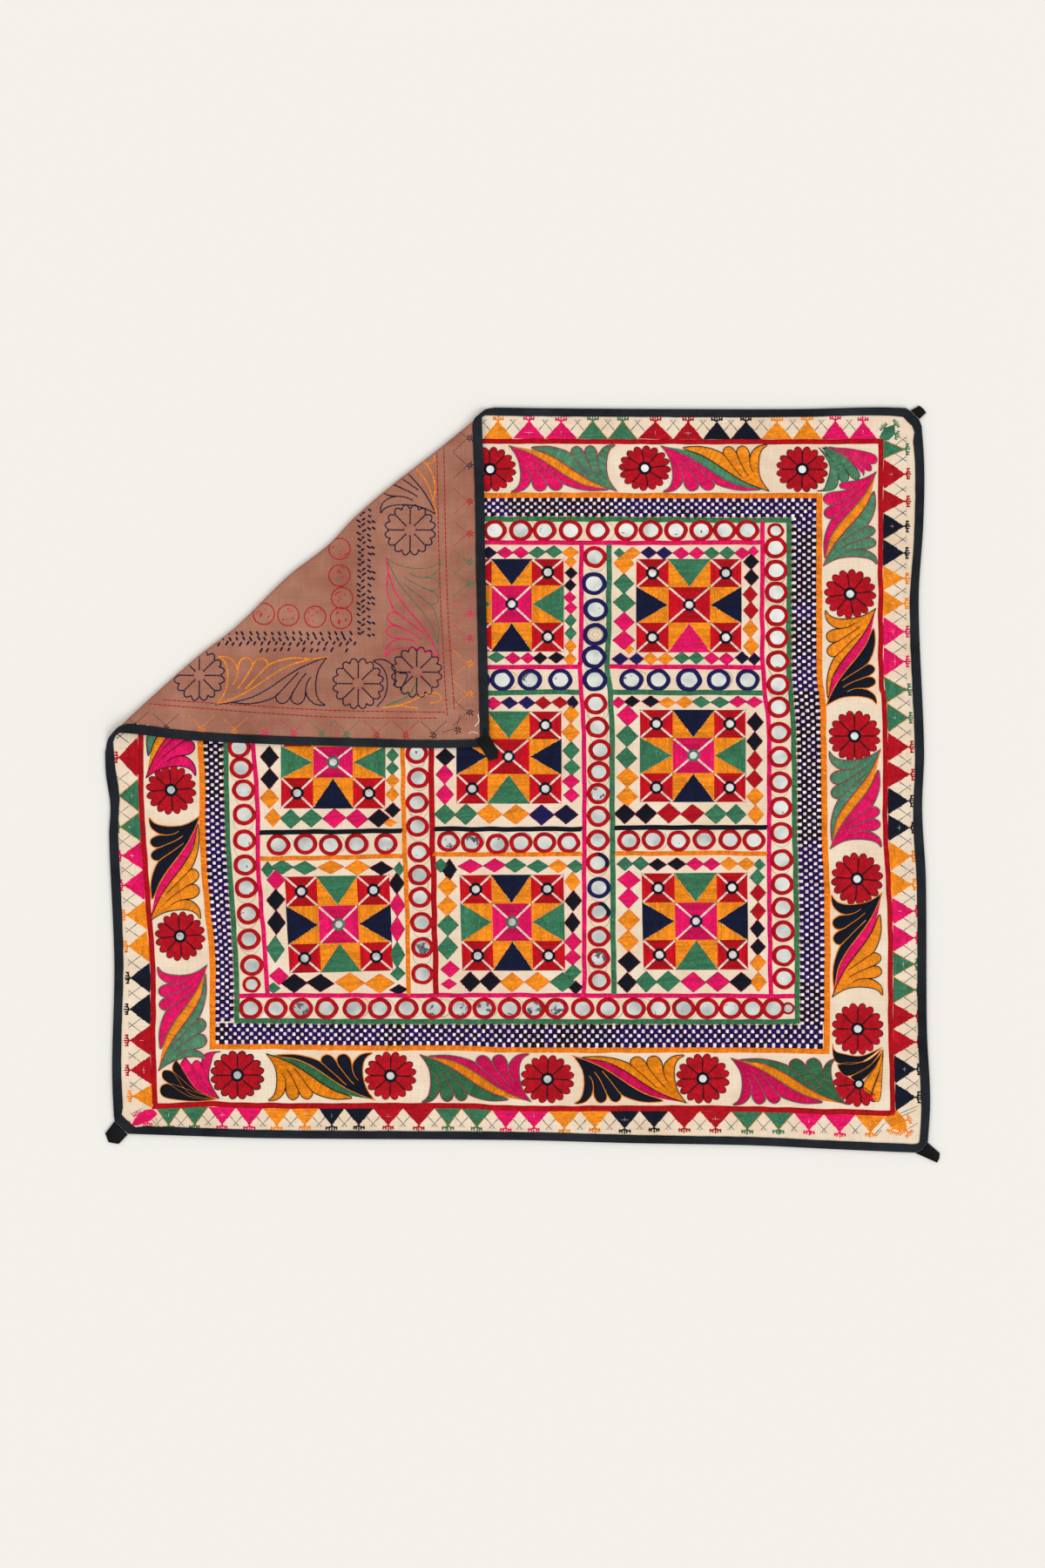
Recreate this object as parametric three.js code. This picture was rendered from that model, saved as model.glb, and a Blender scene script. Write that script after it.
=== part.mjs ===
// A square mirror work tapestry that lies on a surface, with one corner folded over its face.
// Millimetres, +Z up, +X to the right and +Y up the cloth, with the origin under the middle of its box.
//
// All the cloth is laid out on rows: lines parallel to the fold that cross the square, go round the
// roll of the fold and cross the folded corner. A place on a row is its distance along the fold.
import * as THREE from "three";

// ---- Sizes ----
const clothThickness = 1.0; // the face cloth, and the backing cloth
const ribbonThickness = 1.0; // the binding and the tabs
const clearance = 0.3; // between neighbouring pieces
const bindingWidth = 10; // each leg of the binding, square to the edge
const rowSlant = 1.42; // rows cross the edges at about 45 degrees, so this much longer along a row
const bindingCornerLeg = 11.2; // along a row that meets a blunt corner squarely
const foldStart = new THREE.Vector2(-39.5, 432.1); // where the fold leaves the top edge
const foldEnd = new THREE.Vector2(-478.6, 40.2); // where it reaches the left edge
const rollRadius = { topEnd: 3.25, middle: 2.8, leftEnd: 5.0, endLength: 90 };
const rollFacets = 8;
const rollCover = 2.0; // cloth outside the radius of the roll
const cornerHeight = 6.75; // the folded corner's middle surface, where it lies flat
const cornerSettles = 70; // how far from the fold it comes down to that height
const bowReach = 60; // how far in from the fold the rows still follow its bow
const hemSlack = 0.5; // between the cloth's cut edge and the binding's wall, as well as the clearance
const edgeStep = { flat: 16, ends: 34 }; // along a row, where the cloth steps down from the binding
const innerColumns = 10; // between the stepped edges
const tab = { gap: 1.2, foldFacets: 4 };
const mirror = { radius: 9.5, thickness: 0.8, sides: 14 };

// ---- Shapes, as short tables in millimetres ----
// The fold bulges out of the straight line between its ends, at these shares of its length.
const foldBow = [
  { share: 0.0, out: 0 },
  { share: 0.12, out: 3 },
  { share: 0.24, out: 8 },
  { share: 0.34, out: 9 },
  { share: 0.41, out: 5.5 },
  { share: 0.51, out: 9.5 },
  { share: 0.65, out: 6 },
  { share: 0.75, out: 10 },
  { share: 0.87, out: 10.3 },
  { share: 0.95, out: 9 },
  { share: 1.0, out: 5 },
];

// The outer edges of the binding, which wander a little.
const topEdge = [
  { x: -60, y: 432.5 },
  { x: 42, y: 431 },
  { x: 230, y: 430 },
  { x: 320, y: 430.2 },
  { x: 411, y: 432.2 },
  { x: 470, y: 430 },
];
const rightEdge = [
  { y: 440, x: 455.5 },
  { y: 370, x: 461 },
  { y: 300, x: 460.2 },
  { y: 210, x: 454.8 },
  { y: 40, x: 461 },
  { y: -30, x: 458.8 },
  { y: -110, x: 463 },
  { y: -280, x: 464.2 },
  { y: -365, x: 468 },
  { y: -430, x: 463.5 },
];
const bottomEdge = [
  { x: -480, y: -400.5 },
  { x: -392, y: -403.5 },
  { x: -290, y: -406.5 },
  { x: -10, y: -408.6 },
  { x: 120, y: -412 },
  { x: 260, y: -414.6 },
  { x: 363, y: -419.3 },
  { x: 470, y: -424 },
];
const leftEdge = [
  { y: -410, x: -467.5 },
  { y: -330, x: -471 },
  { y: -205, x: -468.5 },
  { y: -60, x: -474.5 },
  { y: -25, x: -473 },
  { y: 10, x: -478 },
  { y: 35, x: -479 },
  { y: 70, x: -478 },
];
// The same for the two edges of the folded corner.
const foldedRightEdge = [
  { y: 430, x: -47 },
  { y: 350, x: -44.2 },
  { y: 260, x: -42.8 },
  { y: 140, x: -40 },
  { y: 30, x: -37.2 },
];
const foldedBottomEdge = [
  { x: -480, y: 58.5 },
  { x: -450, y: 57.8 },
  { x: -388, y: 50.7 },
  { x: -300, y: 46 },
  { x: -200, y: 43 },
  { x: -110, y: 41 },
  { x: -30, y: 42.4 },
];
const bluntCorners = { topRight: 873.4, bottomLeft: -855, bottomRight: 877, folded: -84.5 };

// Where the rows lie, in from the fold. Those near 333 carry the two blunt corners on the long diagonal.
const squareRows = [
  0, 18, 45, 85, 130, 180, 225, 270, 305, 325.5, 333, 340, 347, 375, 425, 480, 535, 590, 645, 700,
  755, 810, 865, 905,
];
const foldedRows = [0, 9, 20, 32, 46, 62, 80, 120, 160, 200, 235];
const cornerRows = [30, 13]; // back from the square's last corner, and from the folded one
const clothCornerBack = 4; // where the cloth ends inside the binding's turn
const bluntRows = { first: 320, last: 350 };

// The binding turns these two corners outside the rows: its outer and inner line, seen from above.
const squareCorner = [
  { outer: [465.2, -411.5], inner: [455.6, -409.5] },
  { outer: [458, -419], inner: [454.8, -411.6] },
  { outer: [451, -423], inner: [452.4, -412.8] },
];
const foldedCorner = [
  { outer: [-38.2, 50], inner: [-49.2, 54] },
  { outer: [-40.4, 44.4], inner: [-50, 53] },
  { outer: [-46, 42.1], inner: [-51.5, 52.4] },
];

// Soft rises that leave the folded corner a little uneven.
const rises = [
  { x: -150, y: 240, height: 1.6, radius: 95 },
  { x: -330, y: 95, height: 1.3, radius: 80 },
  { x: -95, y: 110, height: 0.8, radius: 60 },
];

// Each tab is a ribbon loop, pressed flat: the corners and middle of its sewn end and of its fold.
const tabs = [
  {
    name: "tab_top_right",
    sewn: [[445.6, 428.8], [450.6, 423.8], [455.6, 418.8]],
    fold: [[456.2, 434.4], [460.6, 431], [463.9, 426.5]],
    bottom: 0,
  },
  {
    name: "tab_bottom_right",
    sewn: [[465.6, -411.9], [458.8, -419.6], [451.4, -423.7]],
    fold: [[479.5, -424], [479, -429.8], [476.4, -434.8]],
    bottom: 0,
  },
  {
    name: "tab_bottom_left",
    sewn: [[-453.2, -402.3], [-460.6, -395.2], [-468.4, -387.3]],
    fold: [[-464, -413.6], [-475.6, -411.6], [-479.4, -401.5]],
    bottom: 0,
  },
  {
    name: "tab_folded_corner",
    sewn: [[-37.2, 54], [-38.6, 43], [-47.6, 41]],
    fold: [[-28.6, 36.4], [-29.8, 29.6], [-37, 27.6]],
    bottom: 4.6,
  },
];

// The three outer rows of mirrors: their places along the row, and the row's line.
const mirrorRows = [
  {
    name: "mirror_top",
    places: [-32, -2, 25, 55, 86, 119, 147, 176, 205, 232, 258],
    at: (x) => [x, 291],
  },
  {
    name: "mirror_right",
    places: [
      271, 245, 220, 193, 168, 141, 114, 88, 59, 31, 2, -27, -56, -87, -115, -142, -169, -197, -223,
    ],
    at: (y) => [295.8 - y * 0.02, y],
  },
  {
    name: "mirror_bottom",
    places: [
      -312, -283, -254, -225, -193, -164, -133, -102, -72, -44, -15, 13, 39, 69, 98, 128, 156, 185,
      212, 239, 264, 288,
    ],
    at: (x) => [x, -257.5],
  },
];

const colours = {
  face: { color: 0xe6d2b8, roughness: 0.9 },
  backing: { color: 0xa56c55, roughness: 0.9 },
  binding: { color: 0x282c32, roughness: 0.75 },
  tab: { color: 0x16181a, roughness: 0.8 },
  mirror: { color: 0xc8ced2, roughness: 0.12, metalness: 1 },
};

// ---- Curves and rows ----
// A smooth curve through a table, read at one of its columns.
function follow(table, column, value, at) {
  const up = table[0][column] < table[table.length - 1][column];
  const points = up ? table : [...table].reverse();
  if (at <= points[0][column]) return points[0][value];
  if (at >= points[points.length - 1][column]) return points[points.length - 1][value];
  const k = points.findIndex((p) => p[column] > at) - 1;
  const slope = (i) => {
    const before = points[Math.max(i - 1, 0)];
    const after = points[Math.min(i + 1, points.length - 1)];
    return (after[value] - before[value]) / (after[column] - before[column]);
  };
  const run = points[k + 1][column] - points[k][column];
  const u = (at - points[k][column]) / run;
  return (
    points[k][value] * (1 + 2 * u) * (1 - u) ** 2 +
    points[k + 1][value] * (3 - 2 * u) * u ** 2 +
    run * u * (1 - u) * (slope(k) * (1 - u) - slope(k + 1) * u)
  );
}

// 1 at nothing, falling smoothly to 0 at 1.
function fade(x) {
  const u = Math.min(Math.max(x, 0), 1);
  return (1 - u) ** 2 * (1 + 2 * u);
}

const along = foldEnd.clone().sub(foldStart);
const foldLength = along.length();
along.normalize();
const inward = new THREE.Vector2(-along.y, along.x); // from the fold into the square
const bindingLeg = bindingWidth * rowSlant;
const bindingWall = ribbonThickness * rowSlant;
const clothInset = (ribbonThickness + clearance) * rowSlant + hemSlack;
const halfStack = clothThickness + clearance / 2; // from the middle surface to the cloth's outside
const bindingInside = halfStack + clearance;
const bindingOutside = bindingInside + ribbonThickness;

// A place on the plan, from its distance along the fold and its distance in from it.
const planPoint = (b, t) => foldStart.clone().addScaledVector(along, b).addScaledVector(inward, t);

function rollRadiusAt(b) {
  const { topEnd, middle, leftEnd, endLength } = rollRadius;
  return (
    middle +
    (topEnd - middle) * fade(b / endLength) +
    (leftEnd - middle) * fade((foldLength - b) / endLength)
  );
}

// How far in from the straight line between the fold's ends the roll's axis lies.
const axisAt = (b) => rollRadiusAt(b) + rollCover - follow(foldBow, "share", "out", b / foldLength);

const insideSquare = ({ x, y }) =>
  x > follow(leftEdge, "y", "x", y) &&
  x < follow(rightEdge, "y", "x", y) &&
  y > follow(bottomEdge, "x", "y", x) &&
  y < follow(topEdge, "x", "y", x) &&
  x + y < bluntCorners.topRight &&
  x + y > bluntCorners.bottomLeft &&
  x - y < bluntCorners.bottomRight;

const insideFolded = ({ x, y }) =>
  x < follow(foldedRightEdge, "y", "x", y) &&
  y > follow(foldedBottomEdge, "x", "y", x) &&
  x - y < bluntCorners.folded;

// Where a row leaves the cloth, starting in its middle and going one way.
function rowEnd(isInside, pointAt, middle, way) {
  let near = 0;
  let far = 2 * foldLength;
  for (let k = 0; k < 40; k += 1) {
    const half = (near + far) / 2;
    if (isInside(pointAt(middle + way * half))) near = half;
    else far = half;
  }
  return middle + way * near;
}

// The lift of the square's middle surface: over the binding's lower leg at the edges, down inside them.
function squareHeight(row, b) {
  const fromEnd = Math.min(b - row.start, row.end - b);
  const step = (edgeStep.ends - fromEnd) / (edgeStep.ends - edgeStep.flat);
  return halfStack + (ribbonThickness + clearance) * Math.min(Math.max(step, 0), 1);
}

function riseAt(x, y) {
  return rises.reduce((sum, r) => sum + r.height * fade(Math.hypot(x - r.x, y - r.y) / r.radius), 0);
}

// A row holds its two ends, and place(b), the middle surface there and the way its face side looks.
function flatRow(isInside, t, corner, heightAt, facing, leg) {
  const bow = Math.max(0, 1 - t / bowReach);
  const pointAt = (b) => planPoint(b, t + axisAt(b) * bow);
  const middle = THREE.MathUtils.lerp(foldLength / 2, corner.b, t / corner.t);
  const row = {
    start: rowEnd(isInside, pointAt, middle, -1),
    end: rowEnd(isInside, pointAt, middle, 1),
    leg,
  };
  row.place = (b) => {
    const p = pointAt(b);
    return { point: new THREE.Vector3(p.x, p.y, heightAt(row, b, p)), facing };
  };
  return row;
}

const cornerOf = (stations) => {
  const from = new THREE.Vector2(...stations[1].outer).sub(foldStart);
  return { b: from.dot(along), t: from.dot(inward) };
};
const up = new THREE.Vector3(0, 0, 1);
const down = new THREE.Vector3(0, 0, -1);
const legAt = (t) => (t > bluntRows.first && t < bluntRows.last ? bindingCornerLeg : bindingLeg);

function squareRow(t) {
  return flatRow(insideSquare, t, cornerOf(squareCorner), squareHeight, up, legAt(t));
}

function foldedRow(t) {
  const height = (row, b, p) => {
    const high = squareHeight(row, b) + 2 * rollRadiusAt(b);
    const settled = fade(t / cornerSettles);
    return cornerHeight + (high - cornerHeight) * settled + riseAt(p.x, p.y) * (1 - settled);
  };
  return flatRow(insideFolded, t, cornerOf(foldedCorner), height, down, bindingLeg);
}

// The rows round the roll run from the square's first row to the folded corner's first row.
function rollRows(lower, upper) {
  const rows = [];
  for (let k = 1; k < rollFacets; k += 1) {
    const share = k / rollFacets;
    const turn = Math.PI * share;
    const row = {
      start: THREE.MathUtils.lerp(lower.start, upper.start, share),
      end: THREE.MathUtils.lerp(lower.end, upper.end, share),
      leg: bindingLeg,
    };
    row.place = (b) => {
      const radius = rollRadiusAt(b);
      const p = planPoint(b, axisAt(b) - radius * Math.sin(turn));
      const z = squareHeight(row, b) + radius * (1 - Math.cos(turn));
      const facing = new THREE.Vector3(inward.x, inward.y, 0)
        .multiplyScalar(Math.sin(turn))
        .add(new THREE.Vector3(0, 0, Math.cos(turn)));
      return { point: new THREE.Vector3(p.x, p.y, z), facing };
    };
    rows.push(row);
  }
  return rows;
}

// ---- Solids ----
// A closed mesh from quads of points. It takes the outside as the side from which they run anticlockwise.
function solidFromQuads(points, quads) {
  const geometry = new THREE.BufferGeometry();
  geometry.setAttribute(
    "position",
    new THREE.Float32BufferAttribute(points.flatMap((p) => [p.x, p.y, p.z]), 3),
  );
  geometry.setIndex(quads.flatMap(([a, b, c, d]) => [a, b, c, a, c, d]));
  geometry.computeVertexNormals();
  return geometry;
}

// A sheet between two offsets from a grid of places, each {point, facing}.
function sheet(grid, low, high) {
  const points = [];
  const across = grid[0].length;
  for (const offset of [low, high])
    for (const line of grid)
      for (const { point, facing } of line)
        points.push(point.clone().addScaledVector(facing, offset));
  const layer = grid.length * across;
  const at = (side, i, j) => side * layer + i * across + j;
  const quads = [];
  for (let i = 0; i + 1 < grid.length; i += 1)
    for (let j = 0; j + 1 < across; j += 1) {
      quads.push([at(1, i, j), at(1, i + 1, j), at(1, i + 1, j + 1), at(1, i, j + 1)]);
      quads.push([at(0, i, j), at(0, i, j + 1), at(0, i + 1, j + 1), at(0, i + 1, j)]);
    }
  const last = { i: grid.length - 1, j: across - 1 };
  for (let i = 0; i < last.i; i += 1) {
    quads.push([at(0, i, 0), at(0, i + 1, 0), at(1, i + 1, 0), at(1, i, 0)]);
    quads.push([at(0, i + 1, last.j), at(0, i, last.j), at(1, i, last.j), at(1, i + 1, last.j)]);
  }
  for (let j = 0; j < last.j; j += 1) {
    quads.push([at(0, 0, j + 1), at(0, 0, j), at(1, 0, j), at(1, 0, j + 1)]);
    quads.push([at(0, last.i, j), at(0, last.i, j + 1), at(1, last.i, j + 1), at(1, last.i, j)]);
  }
  return solidFromQuads(points, quads);
}

// Places along a row for the columns of a cloth: three at each stepped edge, and even ones between.
function columnsOf(row) {
  const first = row.start + clothInset;
  const last = row.end - clothInset;
  const half = (row.end - row.start) / 2;
  const least = 0.35; // between columns that crowd at the middle of a short row
  const count = innerColumns + 6;
  const places = [];
  for (let k = 0; k < count / 2; k += 1) {
    const share = (k - 2) / (innerColumns + 1);
    const wished = [clothInset, edgeStep.flat][k] ?? edgeStep.ends + share * 2 * (half - edgeStep.ends);
    places[k] = row.start + Math.min(wished, half - least * (count / 2 - k));
    places[count - 1 - k] = row.end - (places[k] - row.start);
  }
  places[0] = first;
  places[count - 1] = last;
  return places;
}

const clothGrid = (rows) => rows.map((row) => columnsOf(row).map((b) => row.place(b)));

// The binding's section: two legs and the wall between them, from the outer edge inwards.
const bindingSection = (wall, leg) => [
  [0, bindingOutside],
  [leg, bindingOutside],
  [leg, bindingInside],
  [wall, bindingInside],
  [wall, -bindingInside],
  [leg, -bindingInside],
  [leg, -bindingOutside],
  [0, -bindingOutside],
];

function rowStation(row, atStart) {
  return bindingSection(bindingWall, row.leg).map(([inwards, offset]) => {
    const { point, facing } = row.place(atStart ? row.start + inwards : row.end - inwards);
    return point.clone().addScaledVector(facing, offset);
  });
}

function cornerStation({ outer, inner }, height, facing) {
  const from = new THREE.Vector2(...outer);
  const to = new THREE.Vector2(...inner);
  const length = from.distanceTo(to);
  return bindingSection(ribbonThickness, length).map(([inwards, offset]) => {
    const p = from.clone().lerp(to, inwards / length);
    return new THREE.Vector3(p.x, p.y, height).addScaledVector(facing, offset);
  });
}

function bindingGeometry(rows, squareCount) {
  const topSide = rows.map((row) => rowStation(row, true));
  const leftSide = rows.map((row) => rowStation(row, false)).reverse();
  const squareTurn = squareCorner.map((s) =>
    cornerStation(s, halfStack + ribbonThickness + clearance, up),
  );
  const foldedTurn = foldedCorner.map((s) => cornerStation(s, cornerHeight, down));
  const stations = [
    ...topSide, // from the square's last row, over the fold, to the folded corner
    ...foldedTurn,
    ...leftSide,
    ...squareTurn.reverse(),
  ];
  const sides = stations[0].length;
  const quads = [];
  stations.forEach((_, i) => {
    const next = (i + 1) % stations.length;
    for (let k = 0; k < sides; k += 1) {
      const after = (k + 1) % sides;
      quads.push([i * sides + k, next * sides + k, next * sides + after, i * sides + after]);
    }
  });
  return solidFromQuads(stations.flat(), quads);
}

// A ribbon loop pressed nearly flat: out along its lower layer, round the fold and back.
function tabGeometry({ sewn, fold, bottom }) {
  const radius = (ribbonThickness + tab.gap) / 2;
  const middle = bottom + ribbonThickness / 2 + radius;
  const columns = sewn.map((from, k) => {
    const start = new THREE.Vector2(...from);
    const way = new THREE.Vector2(...fold[k]).sub(start);
    const straight = way.length() - radius - ribbonThickness / 2;
    way.normalize();
    const place = (distance, turn) => {
      const p = start.clone().addScaledVector(way, distance + radius * Math.sin(turn));
      const facing = new THREE.Vector3(way.x, way.y, 0)
        .multiplyScalar(-Math.sin(turn))
        .add(new THREE.Vector3(0, 0, Math.cos(turn)));
      return { point: new THREE.Vector3(p.x, p.y, middle - radius * Math.cos(turn)), facing };
    };
    const bend = [];
    for (let f = 0; f <= tab.foldFacets; f += 1)
      bend.push(place(straight, (Math.PI * f) / tab.foldFacets));
    return [place(0, 0), ...bend, place(0, Math.PI)];
  });
  const grid = columns[0].map((_, i) => columns.map((column) => column[i]).reverse());
  return sheet(grid, -ribbonThickness / 2, ribbonThickness / 2);
}

function mirrorGeometry(radius) {
  return new THREE.CylinderGeometry(radius, radius, mirror.thickness, mirror.sides).rotateX(
    Math.PI / 2,
  );
}

// ---- The object ----
const tapestry = new THREE.Group();

function add(name, geometry, look) {
  const mesh = new THREE.Mesh(geometry, new THREE.MeshStandardMaterial(look));
  mesh.name = name;
  tapestry.add(mesh);
  return mesh;
}

const square = squareRows.map(squareRow);
const foldedPart = foldedRows.map(foldedRow);
const roll = rollRows(square[0], foldedPart[0]);
const squareEnd = cornerRows.map((back) => squareRow(cornerOf(squareCorner).t - back)).reverse();
const foldedEnd = cornerRows.map((back) => foldedRow(cornerOf(foldedCorner).t - back));
const bindingRows = [...squareEnd, ...[...square].reverse(), ...roll, ...foldedPart, ...foldedEnd];

// The cloth has one more short row at each of these corners, inside the binding's turn.
const clothRows = [
  squareRow(cornerOf(squareCorner).t - clothCornerBack),
  ...bindingRows,
  foldedRow(cornerOf(foldedCorner).t - clothCornerBack),
];

add("face_cloth", sheet(clothGrid(clothRows), clearance / 2, halfStack), colours.face);
add("backing_cloth", sheet(clothGrid(clothRows), -halfStack, -clearance / 2), colours.backing);
add("binding", bindingGeometry(bindingRows), colours.binding);
for (const shape of tabs) add(shape.name, tabGeometry(shape), colours.tab);

const faceTop = 2 * clothThickness + clearance;
for (const { name, places, at } of mirrorRows)
  places.forEach((place, k) => {
    const disc = add(
      `${name}_${String(k + 1).padStart(2, "0")}`,
      mirrorGeometry(mirror.radius),
      colours.mirror,
    );
    const [x, y] = at(place);
    disc.position.set(x, y, faceTop + clearance + mirror.thickness / 2);
  });

export default tapestry;
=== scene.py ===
import math
import random
import bmesh
import bpy
from mathutils import Color, Matrix, Vector, geometry, noise
from mathutils.bvhtree import BVHTree


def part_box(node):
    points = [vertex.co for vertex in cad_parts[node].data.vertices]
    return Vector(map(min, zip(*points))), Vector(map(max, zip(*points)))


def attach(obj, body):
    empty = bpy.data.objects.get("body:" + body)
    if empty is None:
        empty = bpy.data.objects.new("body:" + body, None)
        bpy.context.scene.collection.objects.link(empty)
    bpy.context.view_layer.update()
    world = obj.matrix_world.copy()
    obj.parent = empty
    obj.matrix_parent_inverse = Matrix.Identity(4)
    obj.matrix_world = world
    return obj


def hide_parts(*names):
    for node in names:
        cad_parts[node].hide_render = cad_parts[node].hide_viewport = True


# A mirror work tapestry laid flat, with one corner folded over its face.
# Lengths are in millimetres until a piece is finished, when it is scaled to metres.
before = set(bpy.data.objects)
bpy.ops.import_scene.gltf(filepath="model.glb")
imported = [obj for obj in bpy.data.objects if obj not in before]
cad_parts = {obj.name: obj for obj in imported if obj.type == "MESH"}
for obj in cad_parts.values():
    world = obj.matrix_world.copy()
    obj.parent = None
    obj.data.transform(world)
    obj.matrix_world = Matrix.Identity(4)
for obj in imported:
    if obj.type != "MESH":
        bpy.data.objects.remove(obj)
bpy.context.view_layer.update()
mm = 0.001
dice = random.Random(41)


def paint(red, green, blue):
    return tuple(Color((red / 255, green / 255, blue / 255)).from_srgb_to_scene_linear())


# A sum written on wires adds Math nodes, and every other node comes from the method node.
class Wire:  # a node's output that can be used in sums
    def __init__(self, nodes, socket):
        self.nodes = nodes
        self.socket = socket

    def math(self, operation, first, second=0.0):
        return self.nodes.node("ShaderNodeMath", {"operation": operation}, {0: first, 1: second})

    def __add__(self, other):
        return self.math("ADD", self, other)

    def __radd__(self, other):
        return self.math("ADD", other, self)

    def __sub__(self, other):
        return self.math("SUBTRACT", self, other)

    def __rsub__(self, other):
        return self.math("SUBTRACT", other, self)

    def __mul__(self, other):
        return self.math("MULTIPLY", self, other)

    def __rmul__(self, other):
        return self.math("MULTIPLY", other, self)


class NodeTree:  # the nodes of a material or of the world
    def __init__(self, owner):
        owner.use_nodes = True
        self.tree = owner.node_tree

    def node(self, kind, settings=None, inputs=None, output=0):
        made = self.tree.nodes.new(kind)
        for name, value in (settings or {}).items():
            if name == "stops":
                elements = made.color_ramp.elements
                while len(elements) < len(value):
                    elements.new(0.5)
                for element, (place, shade) in zip(elements, value):
                    element.position = place
                    element.color = (*shade, 1.0) if isinstance(shade, tuple) else (shade, shade, shade, 1.0)
            else:
                setattr(made, name, value)
        for name, value in (inputs or {}).items():
            if isinstance(value, Wire):
                self.tree.links.new(value.socket, made.inputs[name])
            else:
                made.inputs[name].default_value = value
        return Wire(self, made.outputs[output])


class Finish(NodeTree):  # one material with its nodes
    def __init__(self, name, constants):
        self.material = bpy.data.materials.new(name)
        super().__init__(self.material)
        self.shader = self.tree.nodes["Principled BSDF"]
        for socket, value in constants.items():
            self.shader.inputs[socket].default_value = value

    def mix(self, amount, first, second, way="MIX"):
        colours = [(*c, 1.0) if isinstance(c, tuple) else c for c in (first, second)]
        settings = {"data_type": "RGBA", "blend_type": way}
        return self.node("ShaderNodeMix", settings, {0: amount, 6: colours[0], 7: colours[1]}, 2)

    def place(self, stretch=(1, 1, 1), turn=0.0):
        source = self.node("ShaderNodeTexCoord", output="Object")
        inputs = {"Vector": source, "Scale": stretch, "Rotation": (0, 0, turn)}
        return self.node("ShaderNodeMapping", inputs=inputs)

    def grain(self, vector, scale, detail=2.0):
        return self.node("ShaderNodeTexNoise", inputs={"Vector": vector, "Scale": scale, "Detail": detail})

    def ramp(self, value, stops):
        return self.node("ShaderNodeValToRGB", {"stops": stops}, {"Fac": value})

    def feed(self, **links):
        for name, value in links.items():
            self.tree.links.new(value.socket, self.shader.inputs[name.replace("_", " ")])

    def relief(self, height, distance, strength=1.0):
        values = {"Height": height, "Distance": distance, "Strength": strength}
        self.feed(Normal=self.node("ShaderNodeBump", inputs=values))


cottons = {
    "ground": {
        "base": paint(243, 221, 194),
        "stain": paint(232, 204, 173),
        "pale": paint(248, 232, 210),
        "weave": 1.0,
    },
    "back": {
        "base": paint(166, 110, 90),
        "stain": paint(149, 94, 75),
        "pale": paint(183, 131, 109),
        "weave": 0.8,
    },
    "binding": {
        "base": paint(30, 34, 39),
        "stain": paint(20, 23, 27),
        "pale": paint(44, 49, 54),
        "weave": 0.9,
    },
    "ribbon": {
        "base": paint(17, 19, 20),
        "stain": paint(10, 11, 12),
        "pale": paint(36, 38, 40),
        "weave": 1.3,
        "warp": (260.0, 900.0, 60.0),  # ribbed across
    },
}


def cottonFinish(name, look):
    finish = Finish(name, {"Roughness": 0.92, "Specular IOR Level": 0.12})
    cloth = finish.place()
    broad = finish.grain(cloth, 9.0, 4.0)
    blotch = finish.grain(finish.place((1.0, 1.3, 1.0), 0.4), 34.0, 3.0)
    tone = finish.ramp(broad, [(0.32, look["stain"]), (0.52, look["base"]), (0.74, look["pale"])])
    tone = finish.mix(0.35, tone, finish.ramp(blotch, [(0.35, look["stain"]), (0.65, look["pale"])]))
    warp = finish.grain(finish.place(look.get("warp", (1100.0, 45.0, 60.0))), 1.0, 2.0)
    weft = finish.grain(finish.place((45.0, 1100.0, 60.0)), 1.0, 2.0)
    threads = warp * 0.5 + weft * 0.5
    slubs = finish.ramp(threads, [(0.3, 0.84), (0.7, 1.1)])
    finish.feed(Base_Color=finish.mix(1.0, tone, slubs, "MULTIPLY"))
    finish.feed(Roughness=finish.ramp(broad, [(0.3, 0.86), (0.7, 0.95)]))
    finish.relief(threads, 0.00035 * look["weave"], 0.7)
    return finish.material


def flossFinish():
    finish = Finish("silk floss", {"Specular IOR Level": 0.1})
    colour = finish.node("ShaderNodeAttribute", {"attribute_name": "floss"}, output="Color")
    strand = finish.node("ShaderNodeUVMap", {"uv_map": "strand"})
    fibres = finish.node("ShaderNodeMapping", inputs={"Vector": strand, "Scale": (0.16, 3.4, 1.0)})
    streak = finish.grain(fibres, 1.0, 3.0)
    wear = finish.grain(finish.place(), 55.0, 3.0)
    shade = finish.ramp(streak, [(0.28, 0.62), (0.72, 1.22)])
    dusty = finish.ramp(wear, [(0.3, 0.9), (0.7, 1.08)])
    # painted highlight: the pale flecks stand in for glints on the thread
    glintFleck = finish.ramp(finish.grain(finish.place(), 420.0, 2.0), [(0.36, 0.86), (0.56, 1.0), (0.7, 1.5)])
    wornAndGlinting = finish.mix(1.0, finish.mix(1.0, colour, shade, "MULTIPLY"), dusty, "MULTIPLY")
    # the wear, then the painted glints laid over it
    wornAndGlinting = finish.mix(0.8, wornAndGlinting, glintFleck, "MULTIPLY")
    finish.feed(Base_Color=wornAndGlinting)
    finish.feed(Roughness=finish.ramp(streak, [(0.3, 0.48), (0.7, 0.7)]))
    finish.relief(streak, 0.0003, 0.6)
    return finish.material


mirrors = {  # painted reflections in the glass, from dark to pale; tarnished is the tarnish's own colour
    "bright": (paint(204, 216, 212), paint(240, 245, 242), paint(254, 254, 252)),
    "grey": (paint(172, 178, 178), paint(196, 201, 200), paint(218, 222, 220)),
    "tarnished": (paint(46, 50, 56), paint(112, 117, 122)),
}


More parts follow.
